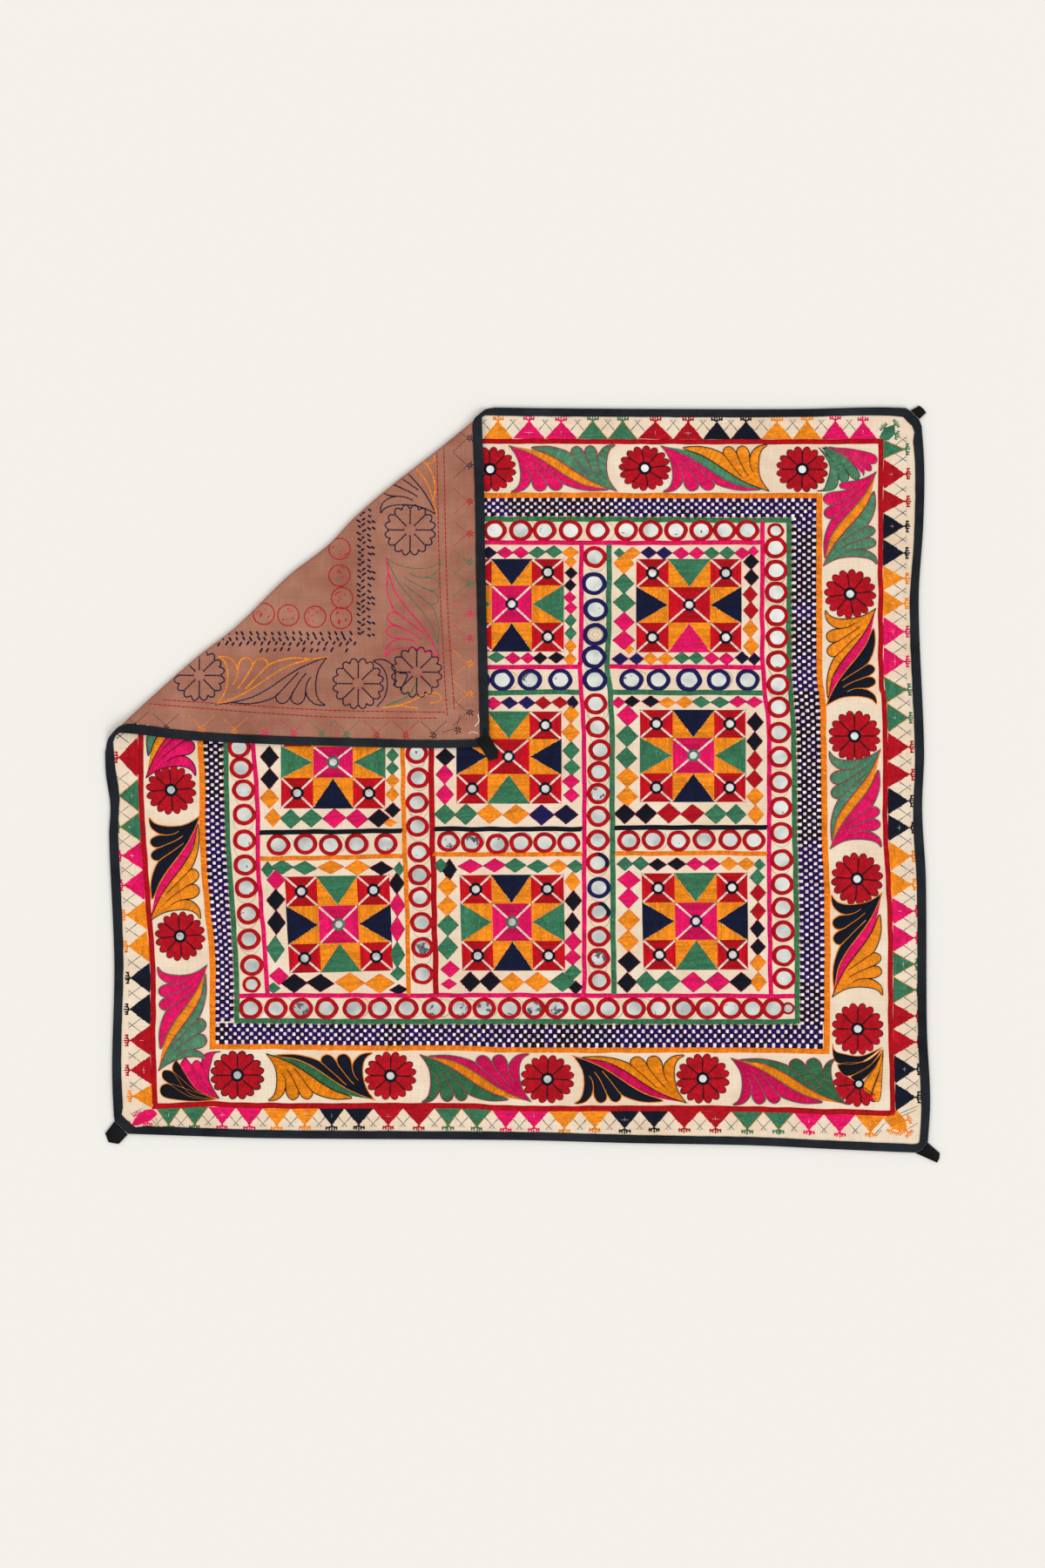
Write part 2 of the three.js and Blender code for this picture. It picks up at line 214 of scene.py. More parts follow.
def mirrorFinish():
    finish = Finish("mirror glass", {})
    spoiled = finish.node("ShaderNodeAttribute", {"attribute_name": "tarnish"}, output="Fac")
    dim = finish.node("ShaderNodeAttribute", {"attribute_name": "dimness"}, output="Fac")
    sky = finish.grain(finish.place((1.0, 1.2, 1.0), 0.6), 44.0, 1.0)  # what a disc happens to mirror
    cloud = finish.grain(finish.place(), 130.0, 3.0)
    speck = finish.grain(finish.place((1.0, 1.0, 1.0), 1.1), 620.0, 2.0)
    mask = finish.ramp(cloud + spoiled * 0.2, [(0.67, 0.0), (0.73, 1.0)])
    reflected = sky * 0.75 + cloud * 0.25
    bright, grey = (
        finish.ramp(reflected, list(zip((0.34, 0.5, 0.66), mirrors[name]))) for name in ("bright", "grey")
    )
    # painted reflection: each disc's dimness chooses between the bright and the grey reflected tones
    tone = finish.mix(dim, bright, grey)
    dark = finish.ramp(speck, list(zip((0.4, 0.66), mirrors["tarnished"])))
    finish.feed(Base_Color=finish.mix(mask, tone, dark))
    finish.feed(Metallic=1.0 - mask * 0.6)
    finish.feed(Roughness=mask * 0.4 + 0.16)
    finish.relief(cloud, 0.0004, 0.2)
    return finish.material


def penFinish():
    finish = Finish("pencil line", {"Roughness": 0.9, "Specular IOR Level": 0.1})
    rubbed = finish.grain(finish.place(), 260.0, 3.0)
    finish.feed(Base_Color=finish.ramp(rubbed, [(0.35, paint(66, 74, 84)), (0.7, paint(132, 132, 132))]))
    finish.relief(rubbed, 0.0001, 0.2)
    return finish.material


groundCotton = cottonFinish("ground cotton", cottons["ground"])
backCotton = cottonFinish("back cotton", cottons["back"])
bindingCotton = cottonFinish("binding cotton", cottons["binding"])
tabRibbon = cottonFinish("tab ribbon", cottons["ribbon"])
silkFloss = flossFinish()
mirrorGlass = mirrorFinish()
pencilLine = penFinish()
print("materials made")

floss = {  # a letter for each colour in the lists below
    "R": paint(186, 9, 28),
    # D and C are one red painted in shade and in light, for the quarters of a crossed square whose threads
    # catch less or more light (painted sheen); D is also the red of a frame line
    "D": paint(182, 6, 20),
    "C": paint(206, 8, 28),
    "L": paint(184, 6, 20),
    "P": paint(236, 16, 100),
    # M is the pink P painted in shade for the same quarters of the middle squares (painted sheen), and a
    # darker pink of its own on leaves and on the back
    "M": paint(212, 8, 84),
    "O": paint(252, 146, 26),
    "G": paint(60, 122, 88),
    "F": paint(84, 138, 104),
    "H": paint(60, 120, 84),
    "E": paint(84, 108, 94),
    "N": paint(11, 18, 50),
    "V": paint(10, 16, 34),
    "I": paint(52, 110, 72),
    "Q": paint(240, 136, 12),
    "X": paint(168, 52, 84),
    "Z": paint(88, 8, 22),
    "U": paint(5, 6, 26),
    "J": paint(252, 134, 22),
    "B": paint(26, 24, 84),
    "K": paint(9, 12, 24),
    "W": paint(252, 236, 222),
    "Y": paint(236, 192, 92),
    "S": paint(255, 237, 246),
    "T": paint(212, 70, 140),
    "k": paint(8, 0, 18),
    "b": paint(26, 6, 76),
    "n": paint(12, 2, 46),
    "A": paint(62, 72, 88),
}

# Rows parallel to the fold cross the square, go round the roll and cross the folded corner.
cloth = {
    "halfStack": 1.15,
    "bindingWidth": 10.0,
    "rowSlant": 1.42,  # a row meets an edge at a slant, so it runs this much longer
    "bluntTopRight": 873.4,  # each blunt corner is the line where x + y or x - y has this value
    "bluntBottomLeft": -855.0,
    "bluntBottomRight": 877.0,
    "bluntFolded": -84.5,
    "bluntRows": [320, 325.5, 333, 340, 347],  # rows across the top right and bottom left corners
    "cornerLeg": 11.2,  # the binding's width along those rows
    "foldStart": Vector((-39.5, 432.1)),
    "foldEnd": Vector((-478.6, 40.2)),
    "rollTopEnd": 3.25,
    "rollMiddle": 2.8,
    "rollLeftEnd": 5.0,
    "rollEndLength": 90.0,
    "rollCover": 2.0,
    "cornerHeight": 6.75,
    "cornerSettles": 70.0,
    "bowReach": 60.0,
    "hem": 2.35,  # from the edge to the first column of the mesh
    "edgeColumns": [9, 16, 25, 34],  # the next columns
    "columns": 104,
    "faceThickness": 0.95,
    "backThickness": 0.7,
    "gap": 0.3,  # between the two cloths
    "stepHeight": 1.3,  # the binding under the edges lifts the cloth
    "stepFlat": 16.0,
    "stepEnds": 34.0,
    "pucker": 0.75,
    "puckerStarts": 24.0,  # from the edges
    "puckerFull": 64.0,
    "broadPucker": 46.0,
    "finePucker": 17.0,
    "backPucker": 0.6,  # against the face's
    "mapSpan": 980.0,  # the width that the flat map covers
}
foldBow = [
    (0.0, 0), (0.12, 3), (0.24, 8), (0.34, 9), (0.41, 5.5), (0.51, 9.5),
    (0.65, 6), (0.75, 10), (0.87, 10.3), (0.95, 9), (1.0, 5),
]
topEdge = [(-60, 432.5), (42, 431), (230, 430), (320, 430.2), (411, 432.2), (470, 430)]
rightEdge = [
    (-430, 463.5), (-365, 468), (-280, 464.2), (-110, 463), (-30, 458.8),
    (40, 461), (210, 454.8), (300, 460.2), (370, 461), (440, 455.5),
]
bottomEdge = [
    (-480, -400.5), (-392, -403.5), (-290, -406.5), (-10, -408.6),
    (120, -412), (260, -414.6), (363, -419.3), (470, -424),
]
leftEdge = [
    (-410, -467.5), (-330, -471), (-205, -468.5), (-60, -474.5),
    (-25, -473), (10, -478), (35, -479), (70, -478),
]
foldedRightEdge = [(30, -37.2), (140, -40), (260, -42.8), (350, -44.2), (430, -47)]
foldedBottomEdge = [
    (-480, 58.5), (-450, 57.8), (-388, 50.7), (-300, 46), (-200, 43), (-110, 41), (-30, 42.4),
]
rises = [(-150, 240, 1.6, 95), (-330, 95, 1.3, 80), (-95, 110, 0.8, 60)]  # place, height and reach
# where the binding turns at the two corners away from the fold: its outer and its inner line
squareCorner = [
    ((465.2, -411.5), (455.6, -409.5)), ((458, -419), (454.8, -411.6)), ((451, -423), (452.4, -412.8)),
]
foldedCorner = [((-38.2, 50), (-49.2, 54)), ((-40.4, 44.4), (-50, 53)), ((-46, 42.1), (-51.5, 52.4))]


def follow(table, at):  # a smooth curve through a table
    if at <= table[0][0]:
        return table[0][1]
    if at >= table[-1][0]:
        return table[-1][1]
    k = next(i for i, pair in enumerate(table) if pair[0] > at) - 1

    def slope(i):
        before = table[max(i - 1, 0)]
        after = table[min(i + 1, len(table) - 1)]
        return (after[1] - before[1]) / (after[0] - before[0])

    run = table[k + 1][0] - table[k][0]
    u = (at - table[k][0]) / run
    ends = table[k][1] * (1 + 2 * u) * (1 - u) ** 2 + table[k + 1][1] * (3 - 2 * u) * u ** 2
    return ends + run * u * (1 - u) * (slope(k) * (1 - u) - slope(k + 1) * u)


def fade(x):  # 1 at nothing, falling smoothly to 0 at 1
    u = min(max(x, 0.0), 1.0)
    return (1 - u) ** 2 * (1 + 2 * u)


foldRun = cloth["foldEnd"] - cloth["foldStart"]
foldLength = foldRun.length
along = foldRun.normalized()
inward = Vector((-along.y, along.x))


def planPoint(b, t):
    return cloth["foldStart"] + along * b + inward * t


def rollRadiusAt(b):
    top = (cloth["rollTopEnd"] - cloth["rollMiddle"]) * fade(b / cloth["rollEndLength"])
    left = (cloth["rollLeftEnd"] - cloth["rollMiddle"]) * fade((foldLength - b) / cloth["rollEndLength"])
    return cloth["rollMiddle"] + top + left


def axisAt(b):
    return rollRadiusAt(b) + cloth["rollCover"] - follow(foldBow, b / foldLength)


def edgeRoom(p):  # how far inside the four edges of the square a place is
    return min(
        p[0] - follow(leftEdge, p[1]),
        follow(rightEdge, p[1]) - p[0],
        p[1] - follow(bottomEdge, p[0]),
        follow(topEdge, p[0]) - p[1],
        (cloth["bluntTopRight"] - p[0] - p[1]) / cloth["rowSlant"],
        (p[0] + p[1] - cloth["bluntBottomLeft"]) / cloth["rowSlant"],
        (cloth["bluntBottomRight"] - p[0] + p[1]) / cloth["rowSlant"],
    )


def foldedRoom(p):
    return min(
        follow(foldedRightEdge, p[1]) - p[0],
        p[1] - follow(foldedBottomEdge, p[0]),
        (cloth["bluntFolded"] - p[0] + p[1]) / cloth["rowSlant"],
    )


def rowEnd(room, pointAt, middle, way):
    near = 0.0
    far = 2 * foldLength
    for _ in range(30):
        half = (near + far) / 2
        if room(pointAt(middle + way * half)) > 0:
            near = half
        else:
            far = half
    return middle + way * near


def squareLift(row, b):
    fromEnd = min(b - row["start"], row["end"] - b)
    step = (cloth["stepEnds"] - fromEnd) / (cloth["stepEnds"] - cloth["stepFlat"])
    return cloth["halfStack"] + cloth["stepHeight"] * min(max(step, 0.0), 1.0)


def riseAt(p):
    return sum(high * fade(math.hypot(p[0] - x, p[1] - y) / reach) for x, y, high, reach in rises)


def cornerPlace(stations):
    way = Vector(stations[1][0]) - cloth["foldStart"]
    return way.dot(along), way.dot(inward)


def flatRow(t, folded):
    bow = max(0.0, 1 - t / cloth["bowReach"])
    room = foldedRoom if folded else edgeRoom
    corner = cornerPlace(foldedCorner if folded else squareCorner)
    middle = foldLength / 2 + (corner[0] - foldLength / 2) * t / corner[1]

    def pointAt(b):
        return planPoint(b, t + axisAt(b) * bow)

    row = {"start": rowEnd(room, pointAt, middle, -1), "end": rowEnd(room, pointAt, middle, 1), "t": t}
    blunt = not folded and t in cloth["bluntRows"][1:]
    row["leg"] = cloth["cornerLeg"] if blunt else cloth["bindingWidth"] * cloth["rowSlant"]

    def place(b):
        p = pointAt(b)
        height = squareLift(row, b)
        if folded:
            settled = fade(t / cloth["cornerSettles"])
            above = height + 2 * rollRadiusAt(b) - cloth["cornerHeight"]
            height = cloth["cornerHeight"] + above * settled + riseAt(p) * (1 - settled)
        return Vector((p.x, p.y, height)), Vector((0, 0, -1 if folded else 1))

    row["place"] = place
    return row


def rollRow(lower, upper, share):
    turn = math.pi * share
    row = {name: lower[name] + (upper[name] - lower[name]) * share for name in ("start", "end")}
    row["leg"] = cloth["bindingWidth"] * cloth["rowSlant"]
    row["t"] = 0.0

    def place(b):
        radius = rollRadiusAt(b)
        p = planPoint(b, axisAt(b) - radius * math.sin(turn))
        facing = Vector((inward.x * math.sin(turn), inward.y * math.sin(turn), math.cos(turn)))
        return Vector((p.x, p.y, squareLift(row, b) + radius * (1 - math.cos(turn)))), facing

    row["place"] = place
    return row


def steps(first, last, step):
    count = max(1, round((last - first) / step))
    return [first + (last - first) * k / count for k in range(count + 1)]


squareReach = cornerPlace(squareCorner)[1]
foldedReach = cornerPlace(foldedCorner)[1]
squareRows = [flatRow(t, False) for t in steps(0, 40, 5)[:-1] + steps(40, cloth["bluntRows"][0], 7)[:-1]]
squareRows += [flatRow(t, False) for t in cloth["bluntRows"] + steps(354, squareReach - 13, 7)]
foldedRows = [flatRow(t, True) for t in steps(0, 80, 4)[:-1] + steps(80, foldedReach - 13, 6)]
rollRows = [rollRow(squareRows[0], foldedRows[0], k / 14) for k in range(1, 14)]
bindingRows = squareRows[::-1] + rollRows + foldedRows
clothRows = [flatRow(squareReach - 4, False)] + bindingRows + [flatRow(foldedReach - 4, True)]
print("rows laid out", len(clothRows))


def columnsOf(row, count):
    half = (row["end"] - row["start"]) / 2
    wished = [cloth["hem"], *cloth["edgeColumns"]]
    inner = count // 2 - len(wished)
    places = []
    for k in range(count // 2):
        if k < len(wished):
            reach = wished[k]
        else:
            reach = wished[-1] + (half - wished[-1]) * (k - len(wished) + 1) / (inner + 0.5)
        crowded = max(half - 0.35 * (count / 2 - k), half * (k + 0.5) / (count / 2))
        places.append(row["start"] + min(reach, crowded))
    return places + [row["end"] + row["start"] - b for b in reversed(places)]


def gridOf(count, width):  # a fresh grid, and its vertices as that many lines across it
    work = bmesh.new()
    bmesh.ops.create_grid(work, x_segments=count - 1, y_segments=width - 1, size=0.5)
    verts = list(work.verts)
    return work, [[verts[j * count + i] for j in range(width)] for i in range(count)]


def finishPiece(name, work, finish):
    bmesh.ops.scale(work, vec=(mm, mm, mm), verts=work.verts)
    mesh = bpy.data.meshes.new(name)
    work.to_mesh(mesh)
    work.free()
    mesh.materials.append(finish)
    mesh.shade_smooth()
    piece = bpy.data.objects.new(name, mesh)
    bpy.context.collection.objects.link(piece)
    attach(piece, "root")
    return piece


def thicken(piece, depth):
    solid = piece.modifiers.new("thickness", "SOLIDIFY")
    solid.thickness = depth * mm
    solid.offset = -1.0


def puckerAt(p, row, b):  # the slack between the lines of stitching
    room = min(b - row["start"], row["end"] - b)
    inside = (room - cloth["puckerStarts"]) / (cloth["puckerFull"] - cloth["puckerStarts"])
    awayFromFold = (row["t"] - 8) / 50
    broad = noise.noise((p.x / cloth["broadPucker"], p.y / cloth["broadPucker"], 1.7))
    fine = noise.noise((p.x / cloth["finePucker"], p.y / cloth["finePucker"], 5.1))
    slack = max(0.0, 0.45 + 0.5 * broad + 0.35 * fine)
    return cloth["pucker"] * (1 - fade(inside)) * (1 - fade(awayFromFold)) * slack


def clothSheet(offset, turned):
    work, grid = gridOf(len(clothRows), cloth["columns"])
    for row, line in zip(clothRows, grid):
        for b, vert in zip(columnsOf(row, cloth["columns"]), line):
            point, facing = row["place"](b)
            slack = puckerAt(point, row, b)
            vert.co = point + facing * (offset + (0 if turned else slack))
            if turned and facing.z < 0:
                vert.co.z += cloth["backPucker"] * slack
    bmesh.ops.recalc_face_normals(work, faces=work.faces)
    work.normal_update()
    flat = min(work.faces, key=lambda face: (face.calc_center_median().xy - Vector((300, 0))).length)
    if (flat.normal.z < 0) != turned:
        bmesh.ops.reverse_faces(work, faces=work.faces)
    return work


faceWork = clothSheet(cloth["halfStack"], False)
backWork = clothSheet(cloth["gap"] - cloth["halfStack"], True)
faceTree = BVHTree.FromBMesh(faceWork)
backTree = BVHTree.FromBMesh(backWork)


def dropTo(tree, x, y, fromZ, way):
    hit = tree.ray_cast(Vector((x, y, fromZ)), Vector((0, 0, way)))[0]
    return None if hit is None else hit.z


faceCloth = finishPiece("faceCloth", faceWork, groundCotton)
backCloth = finishPiece("backCloth", backWork, backCotton)
thicken(faceCloth, cloth["faceThickness"])
thicken(backCloth, cloth["backThickness"])
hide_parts("face_cloth")
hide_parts("backing_cloth")
print("cloths folded")

binding = {
    "section": [  # share of the leg inwards, and height from the cloth's middle
        (1.0, 2.2), (0.86, 2.4), (0.45, 2.42), (0.12, 2.38), (0.02, 1.7), (0.0, 0.0), (0.02, -1.7),
        (0.12, -2.38), (0.45, -2.42), (0.86, -2.42), (1.0, -2.2), (0.99, -1.6), (0.14, -1.6),
        (0.14, 1.6), (0.99, 1.6),
    ],
    "waver": 0.7,
}


def bindingStation(row, atStart):
    ring = []
    for inwards, offset in binding["section"]:
        b = row["start"] + inwards * row["leg"] if atStart else row["end"] - inwards * row["leg"]
        point, facing = row["place"](b)
        if inwards > 0.8:
            push = binding["waver"] * noise.noise((point.x / 9, point.y / 9, 0.3))
            point += Vector((along.x, along.y, 0)) * push * (1 if atStart else -1)
        ring.append(point + facing * offset)
    return ring


def turnStation(station, height, way):
    outer, inner = (Vector(p) for p in station)
    return [(*outer.lerp(inner, share), height + way * offset) for share, offset in binding["section"]]


stations = [bindingStation(row, True) for row in bindingRows]
stations += [turnStation(s, cloth["cornerHeight"], -1) for s in foldedCorner]
stations += [bindingStation(row, False) for row in bindingRows[::-1]]
stations += [turnStation(s, cloth["halfStack"] + cloth["stepHeight"], 1) for s in squareCorner[::-1]]
stations.append(stations[0])
bindingWork, bindingGrid = gridOf(len(stations), len(binding["section"]) + 1)
for line, ring in zip(bindingGrid, stations):
    for vert, point in zip(line, ring + [ring[0]]):
        vert.co = point
bmesh.ops.remove_doubles(bindingWork, verts=bindingWork.verts, dist=0.002)
bmesh.ops.recalc_face_normals(bindingWork, faces=bindingWork.faces)
bindingStrip = finishPiece("bindingStrip", bindingWork, bindingCotton)
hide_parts("binding")

tabs = {
    "gap": 1.2,  # between the two layers of a loop
    "thickness": 0.5,
    "overBinding": 2.9,  # how high an end lies on the binding
    "steps": (6, 9),  # of the mesh along a layer and round the fold
    "places": [  # where it is sewn, where it folds, its height, and how far it comes back over the binding
        ([(445.6, 428.8), (450.6, 423.8), (455.6, 418.8)],
         [(456.2, 434.4), (460.6, 431), (463.9, 426.5)], 0, 0),
        ([(465.6, -411.9), (458.8, -419.6), (451.4, -423.7)],
         [(479.5, -424), (479, -429.8), (476.4, -434.8)], 0, 0),
        ([(-453.2, -402.3), (-460.6, -395.2), (-468.4, -387.3)],
         [(-464, -413.6), (-475.6, -411.6), (-479.4, -401.5)], 0, 0),
        ([(-37.2, 54), (-38.6, 43), (-47.6, 41)],
         [(-27.4, 37.4), (-28.6, 28.6), (-38.4, 26.4)], 4.6, 13),
    ],
}


def ribbonTab(sewn, fold, bottom, over):  # out under the cloth, round the fold and back
    thickness = tabs["thickness"]
    radius = thickness + tabs["gap"] / 2
    layer, bend = tabs["steps"]
    last = 2 * layer + bend
    work, grid = gridOf(last + 1, 7)
    for j in range(7):
        share = j / 3
        k = min(int(share), 1)
        start = Vector(sewn[k]).lerp(Vector(sewn[k + 1]), share - k)
        end = Vector(fold[k]).lerp(Vector(fold[k + 1]), share - k)
        way = (end - start).normalized()
        straight = (end - start).length - radius - thickness
        for i in range(last + 1):
            turn = math.pi * min(max((i - layer) / bend, 0.0), 1.0)
            out = straight * min(i / layer, 1.0, (last - i) / layer) + radius * math.sin(turn)
            lift = 0.25 * math.sin(out * 1.3 + j) if 0 < out < straight - 1 else 0.0
            back = i - layer - bend
            if over and back > 0:
                out -= over * back / layer
                lift = tabs["overBinding"] * fade((out - 1) / (straight - 1))
            p = start + way * out
            high = bottom + thickness + radius * (1 - math.cos(turn))
            grid[i][j].co = (p.x, p.y, high + (lift if i > 2 * layer else 0))
    bmesh.ops.recalc_face_normals(work, faces=work.faces)
    work.normal_update()
    work.faces.ensure_lookup_table()
    if work.faces[0].normal.z > 0:
        bmesh.ops.reverse_faces(work, faces=work.faces)
    bmesh.ops.solidify(work, geom=work.faces[:], thickness=thickness)
    return work


def gather(whole, work, carrier):  # moves a mesh into a larger one
    work.to_mesh(carrier)
    whole.from_mesh(carrier)
    work.free()


tabsWork = bmesh.new()
carrier = bpy.data.meshes.new("carrier")
for place in tabs["places"]:
    gather(tabsWork, ribbonTab(*place), carrier)
bmesh.ops.recalc_face_normals(tabsWork, faces=tabsWork.faces)
ribbonTabs = finishPiece("ribbonTabs", tabsWork, tabRibbon)
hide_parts("tab_top_right", "tab_bottom_right", "tab_bottom_left", "tab_folded_corner")
print("binding and tabs sewn")

stitch = {
    "pitch": 1.5,  # from one thread to the next
    "height": 0.75,
    "groove": 0.4,
    "spill": 0.5,  # past the drawn edge
    "rim": 0.9,  # where the threads go down into the cloth
    "sunk": -0.12,  # where they end, under the surface
    "shadeSpread": 0.15,
    "ragged": 1.2,
}
dropFrom = {"face": 4.7, "foldedCorner": 40.0, "underside": -3.0}  # where a ray to the cloth starts
backPaths = []  # what shows on the underside: a colour and a line


def lengthOf(path):
    return sum((b - a).length for a, b in zip(path, path[1:]))


def threadsOf(work, grid):  # a number for each face: two rows of faces make one thread
    rowOf = {vert: k for k, line in enumerate(grid) for vert in line}
    return {face: min(rowOf[vert] for vert in face.verts) // 2 for face in work.faces}


class Embroidery:  # one piece of stitching, made of many patches
    def __init__(self, name):
        self.name = name
        self.all = bmesh.new()
        self.layers(self.all)
        self.scratch = bpy.data.meshes.new("scratch")

    def layers(self, work):
        shade = work.loops.layers.float_color.new("floss")
        strand = work.loops.layers.uv.new("strand")
        work.loops.layers.uv.new("OFBake")
        return shade, strand

    def colour(self, work, shade, strand, tint, threadOf, strandOf):
        spread = stitch["shadeSpread"]
        start = dice.random() * 50
        tones = {}
        for face in work.faces:
            thread = threadOf(face)
            if thread not in tones:
                clump = 1 + 1.2 * spread * noise.noise((thread * 0.23, start, 0.5))
                tones[thread] = dice.uniform(1 - spread, 1 + spread) * clump
            tone = tones[thread]
            value = (tint[0] * tone, tint[1] * tone, tint[2] * tone, 1.0)
            for loop in face.loops:
                loop[shade] = value
                loop[strand].uv = strandOf(loop.vert.co, thread)

    def take(self, work):
        bmesh.ops.recalc_face_normals(work, faces=work.faces)
        work.normal_update()
        if sum(face.normal.z * face.calc_area() for face in work.faces) < 0:
            bmesh.ops.reverse_faces(work, faces=work.faces)
        gather(self.all, work, self.scratch)

    def satin(self, outline, way, colour, height=stitch["height"]):  # a patch with an outline of any shape
        rim = stitch["rim"]
        outline = [Vector((p[0], p[1])) for p in outline]
        middle = sum(outline, Vector((0, 0))) / len(outline)
        outline = [p + (p - middle).normalized() * stitch["spill"] for p in outline]
        work = bmesh.new()
        shade, strand = self.layers(work)
        face = work.faces.new([work.verts.new((p.x, p.y, 0)) for p in outline])
        face.normal_update()
        bmesh.ops.inset_region(work, faces=[face], thickness=rim, use_even_offset=True, use_boundary=True)
        way = Vector(way).normalized()
        sideways = Vector((-way.y, way.x))
        reach = [sideways.dot(p) for p in outline]
        lowest = min(reach)
        count = max(2, round((max(reach) - lowest) / stitch["pitch"]))
        half = (max(reach) - lowest) / count / 2
        for k in range(1, 2 * count):
            spot = sideways * (lowest + k * half)
            geom = work.verts[:] + work.edges[:] + work.faces[:]
            bmesh.ops.bisect_plane(work, geom=geom, plane_co=(*spot, 0), plane_no=(*sideways, 0), dist=1e-4)
        sides = []
        for k, p in enumerate(outline):
            q = outline[(k + 1) % len(outline)]
            side = (q - p).normalized()
            normal = Vector((-side.y, side.x))
            if normal.dot(middle - p) < 0:
                normal = -normal
            sides.append((p, normal))
        for vert in work.verts:
            p = Vector(vert.co.xy)
            inside = min(normal.dot(p - start) for start, normal in sides)
            turn = (sideways.dot(p) - lowest) / half
            ridge = 0.5 - 0.5 * math.cos(math.pi * turn)
            top = height * (stitch["groove"] + (1 - stitch["groove"]) * ridge)
            full = min(max(inside / rim, 0.0), 1.0)
            vert.co.z = top * math.sqrt(full) - 0.15 * (1 - full)
            if full < 0.5:
                out = dice.uniform(-0.1, 1.0) * stitch["ragged"]
                vert.co.xy = p + way * (out if way.dot(p - middle) > 0 else -out)
        step = 2 * half
        self.colour(
            work, shade, strand, floss[colour],
            lambda face: int((sideways.dot(face.calc_center_median().xy) - lowest) / step),
            lambda co, thread: (way.dot(co.xy) + thread * 7.3, sideways.dot(co.xy)),
        )
        self.take(work)

    def band(self, first, second, colour, height, shares, flat=False):
        # threads run from one line to the other, which have the same number of places
        work, grid = gridOf(len(first), len(shares))
        shade, strand = self.layers(work)
        for k, line in enumerate(grid):
            ridge = 1.0 if flat or k % 2 else stitch["groove"]
            top = height * ridge * min(1.0, (second[k] - first[k]).length / 1.6)
            for share, vert in zip(shares, line):
                spot = first[k].lerp(second[k], share)
                vert.co = (spot.x, spot.y, top if 0 < share < 1 else stitch["sunk"])
        threads = threadsOf(work, grid)
        places = {tuple(line[j].co): (j, k) for j in range(len(shares)) for k, line in enumerate(grid)}

        def strandOf(co, thread):
            j, k = places.get(tuple(co), (0, 0))
            return (shares[j] * 6 + thread * 3.1, k * 0.65)

        self.colour(work, shade, strand, floss[colour], lambda face: threads[face], strandOf)
        self.take(work)

    def line(self, path, width, colour, height, slant):
        # a line of close stitches along a path
        count = max(2, 2 * round(lengthOf(path) / stitch["pitch"])) + 1
        shares = (0, 0.15, 0.85, 1) if width > 4 else (0, 0.25, 0.75, 1)
        self.band(*besides(evenly(path, count), width, slant), colour, height, shares)

    def thread(self, path, colour, width, height, step=2.2):
        # a single laid thread, through the path's own places where no step is given
        places = evenly(path, max(2, round(lengthOf(path) / step) + 1)) if step else path
        self.band(*besides(places, width, 0.0), colour, height, (0, 0.5, 1), flat=True)

    def finish(self, drop, finish=None):
        lost = []
        for vert in self.all.verts:
            ground = drop(vert.co.x, vert.co.y)
            if ground is None:
                lost.append(vert)
            else:
                vert.co.z += ground
        if lost:
            bmesh.ops.delete(self.all, geom=lost, context="VERTS")
        flat = self.all.loops.layers.uv["OFBake"]
        for face in self.all.faces:
            for loop in face.loops:
                loop[flat].uv = loop.vert.co.xy / cloth["mapSpan"] + Vector((0.5, 0.5))
        return finishPiece(self.name, self.all, finish or silkFloss)


def onFace(x, y):
    return dropTo(faceTree, x, y, dropFrom["face"], -1)


def smoothLine(places, step=3.0):  # a curve through all the places
    points = [Vector((p[0], p[1])) for p in places]
    path = []
    for k in range(len(points) - 1):
        start, end = points[k], points[k + 1]
        before = points[max(k - 1, 0)]
        after = points[min(k + 2, len(points) - 1)]
        count = max(2, round((end - start).length / step)) + 1
        handles = start + (end - before) / 6, end - (after - start) / 6
        path += [p.to_2d() for p in geometry.interpolate_bezier(start, *handles, end, count)[:-1]]
    return path + [points[-1]]


def evenly(path, count):  # the path again, with places at even distances
    lengths = [(b - a).length for a, b in zip(path, path[1:])]
    total = sum(lengths)
    places = []
    k = 0
    passed = 0.0
    for n in range(count):
        wanted = total * n / (count - 1)
        while k < len(lengths) - 1 and passed + lengths[k] < wanted:
            passed += lengths[k]
            k += 1
        share = min(max((wanted - passed) / max(lengths[k], 1e-6), 0.0), 1.0)
        places.append(path[k].lerp(path[k + 1], share))
    return places


def besides(path, width, slant):  # the two sides of a line
    left, right = [], []
    for k, p in enumerate(path):
        way = (path[min(k + 1, len(path) - 1)] - path[max(k - 1, 0)]).normalized()
        normal = Vector((-way.y, way.x))
        left.append(p + normal * width / 2 + way * slant / 2)
        right.append(p - normal * width / 2 - way * slant / 2)
    return right, left


def roundLine(centre, radius, step=0.3, squash=1.0):
    ring = [Vector((math.cos(a), math.sin(a) * squash)) for a in steps(0, 2 * math.pi, step)]
    return [Vector(centre) + spot * radius for spot in ring]


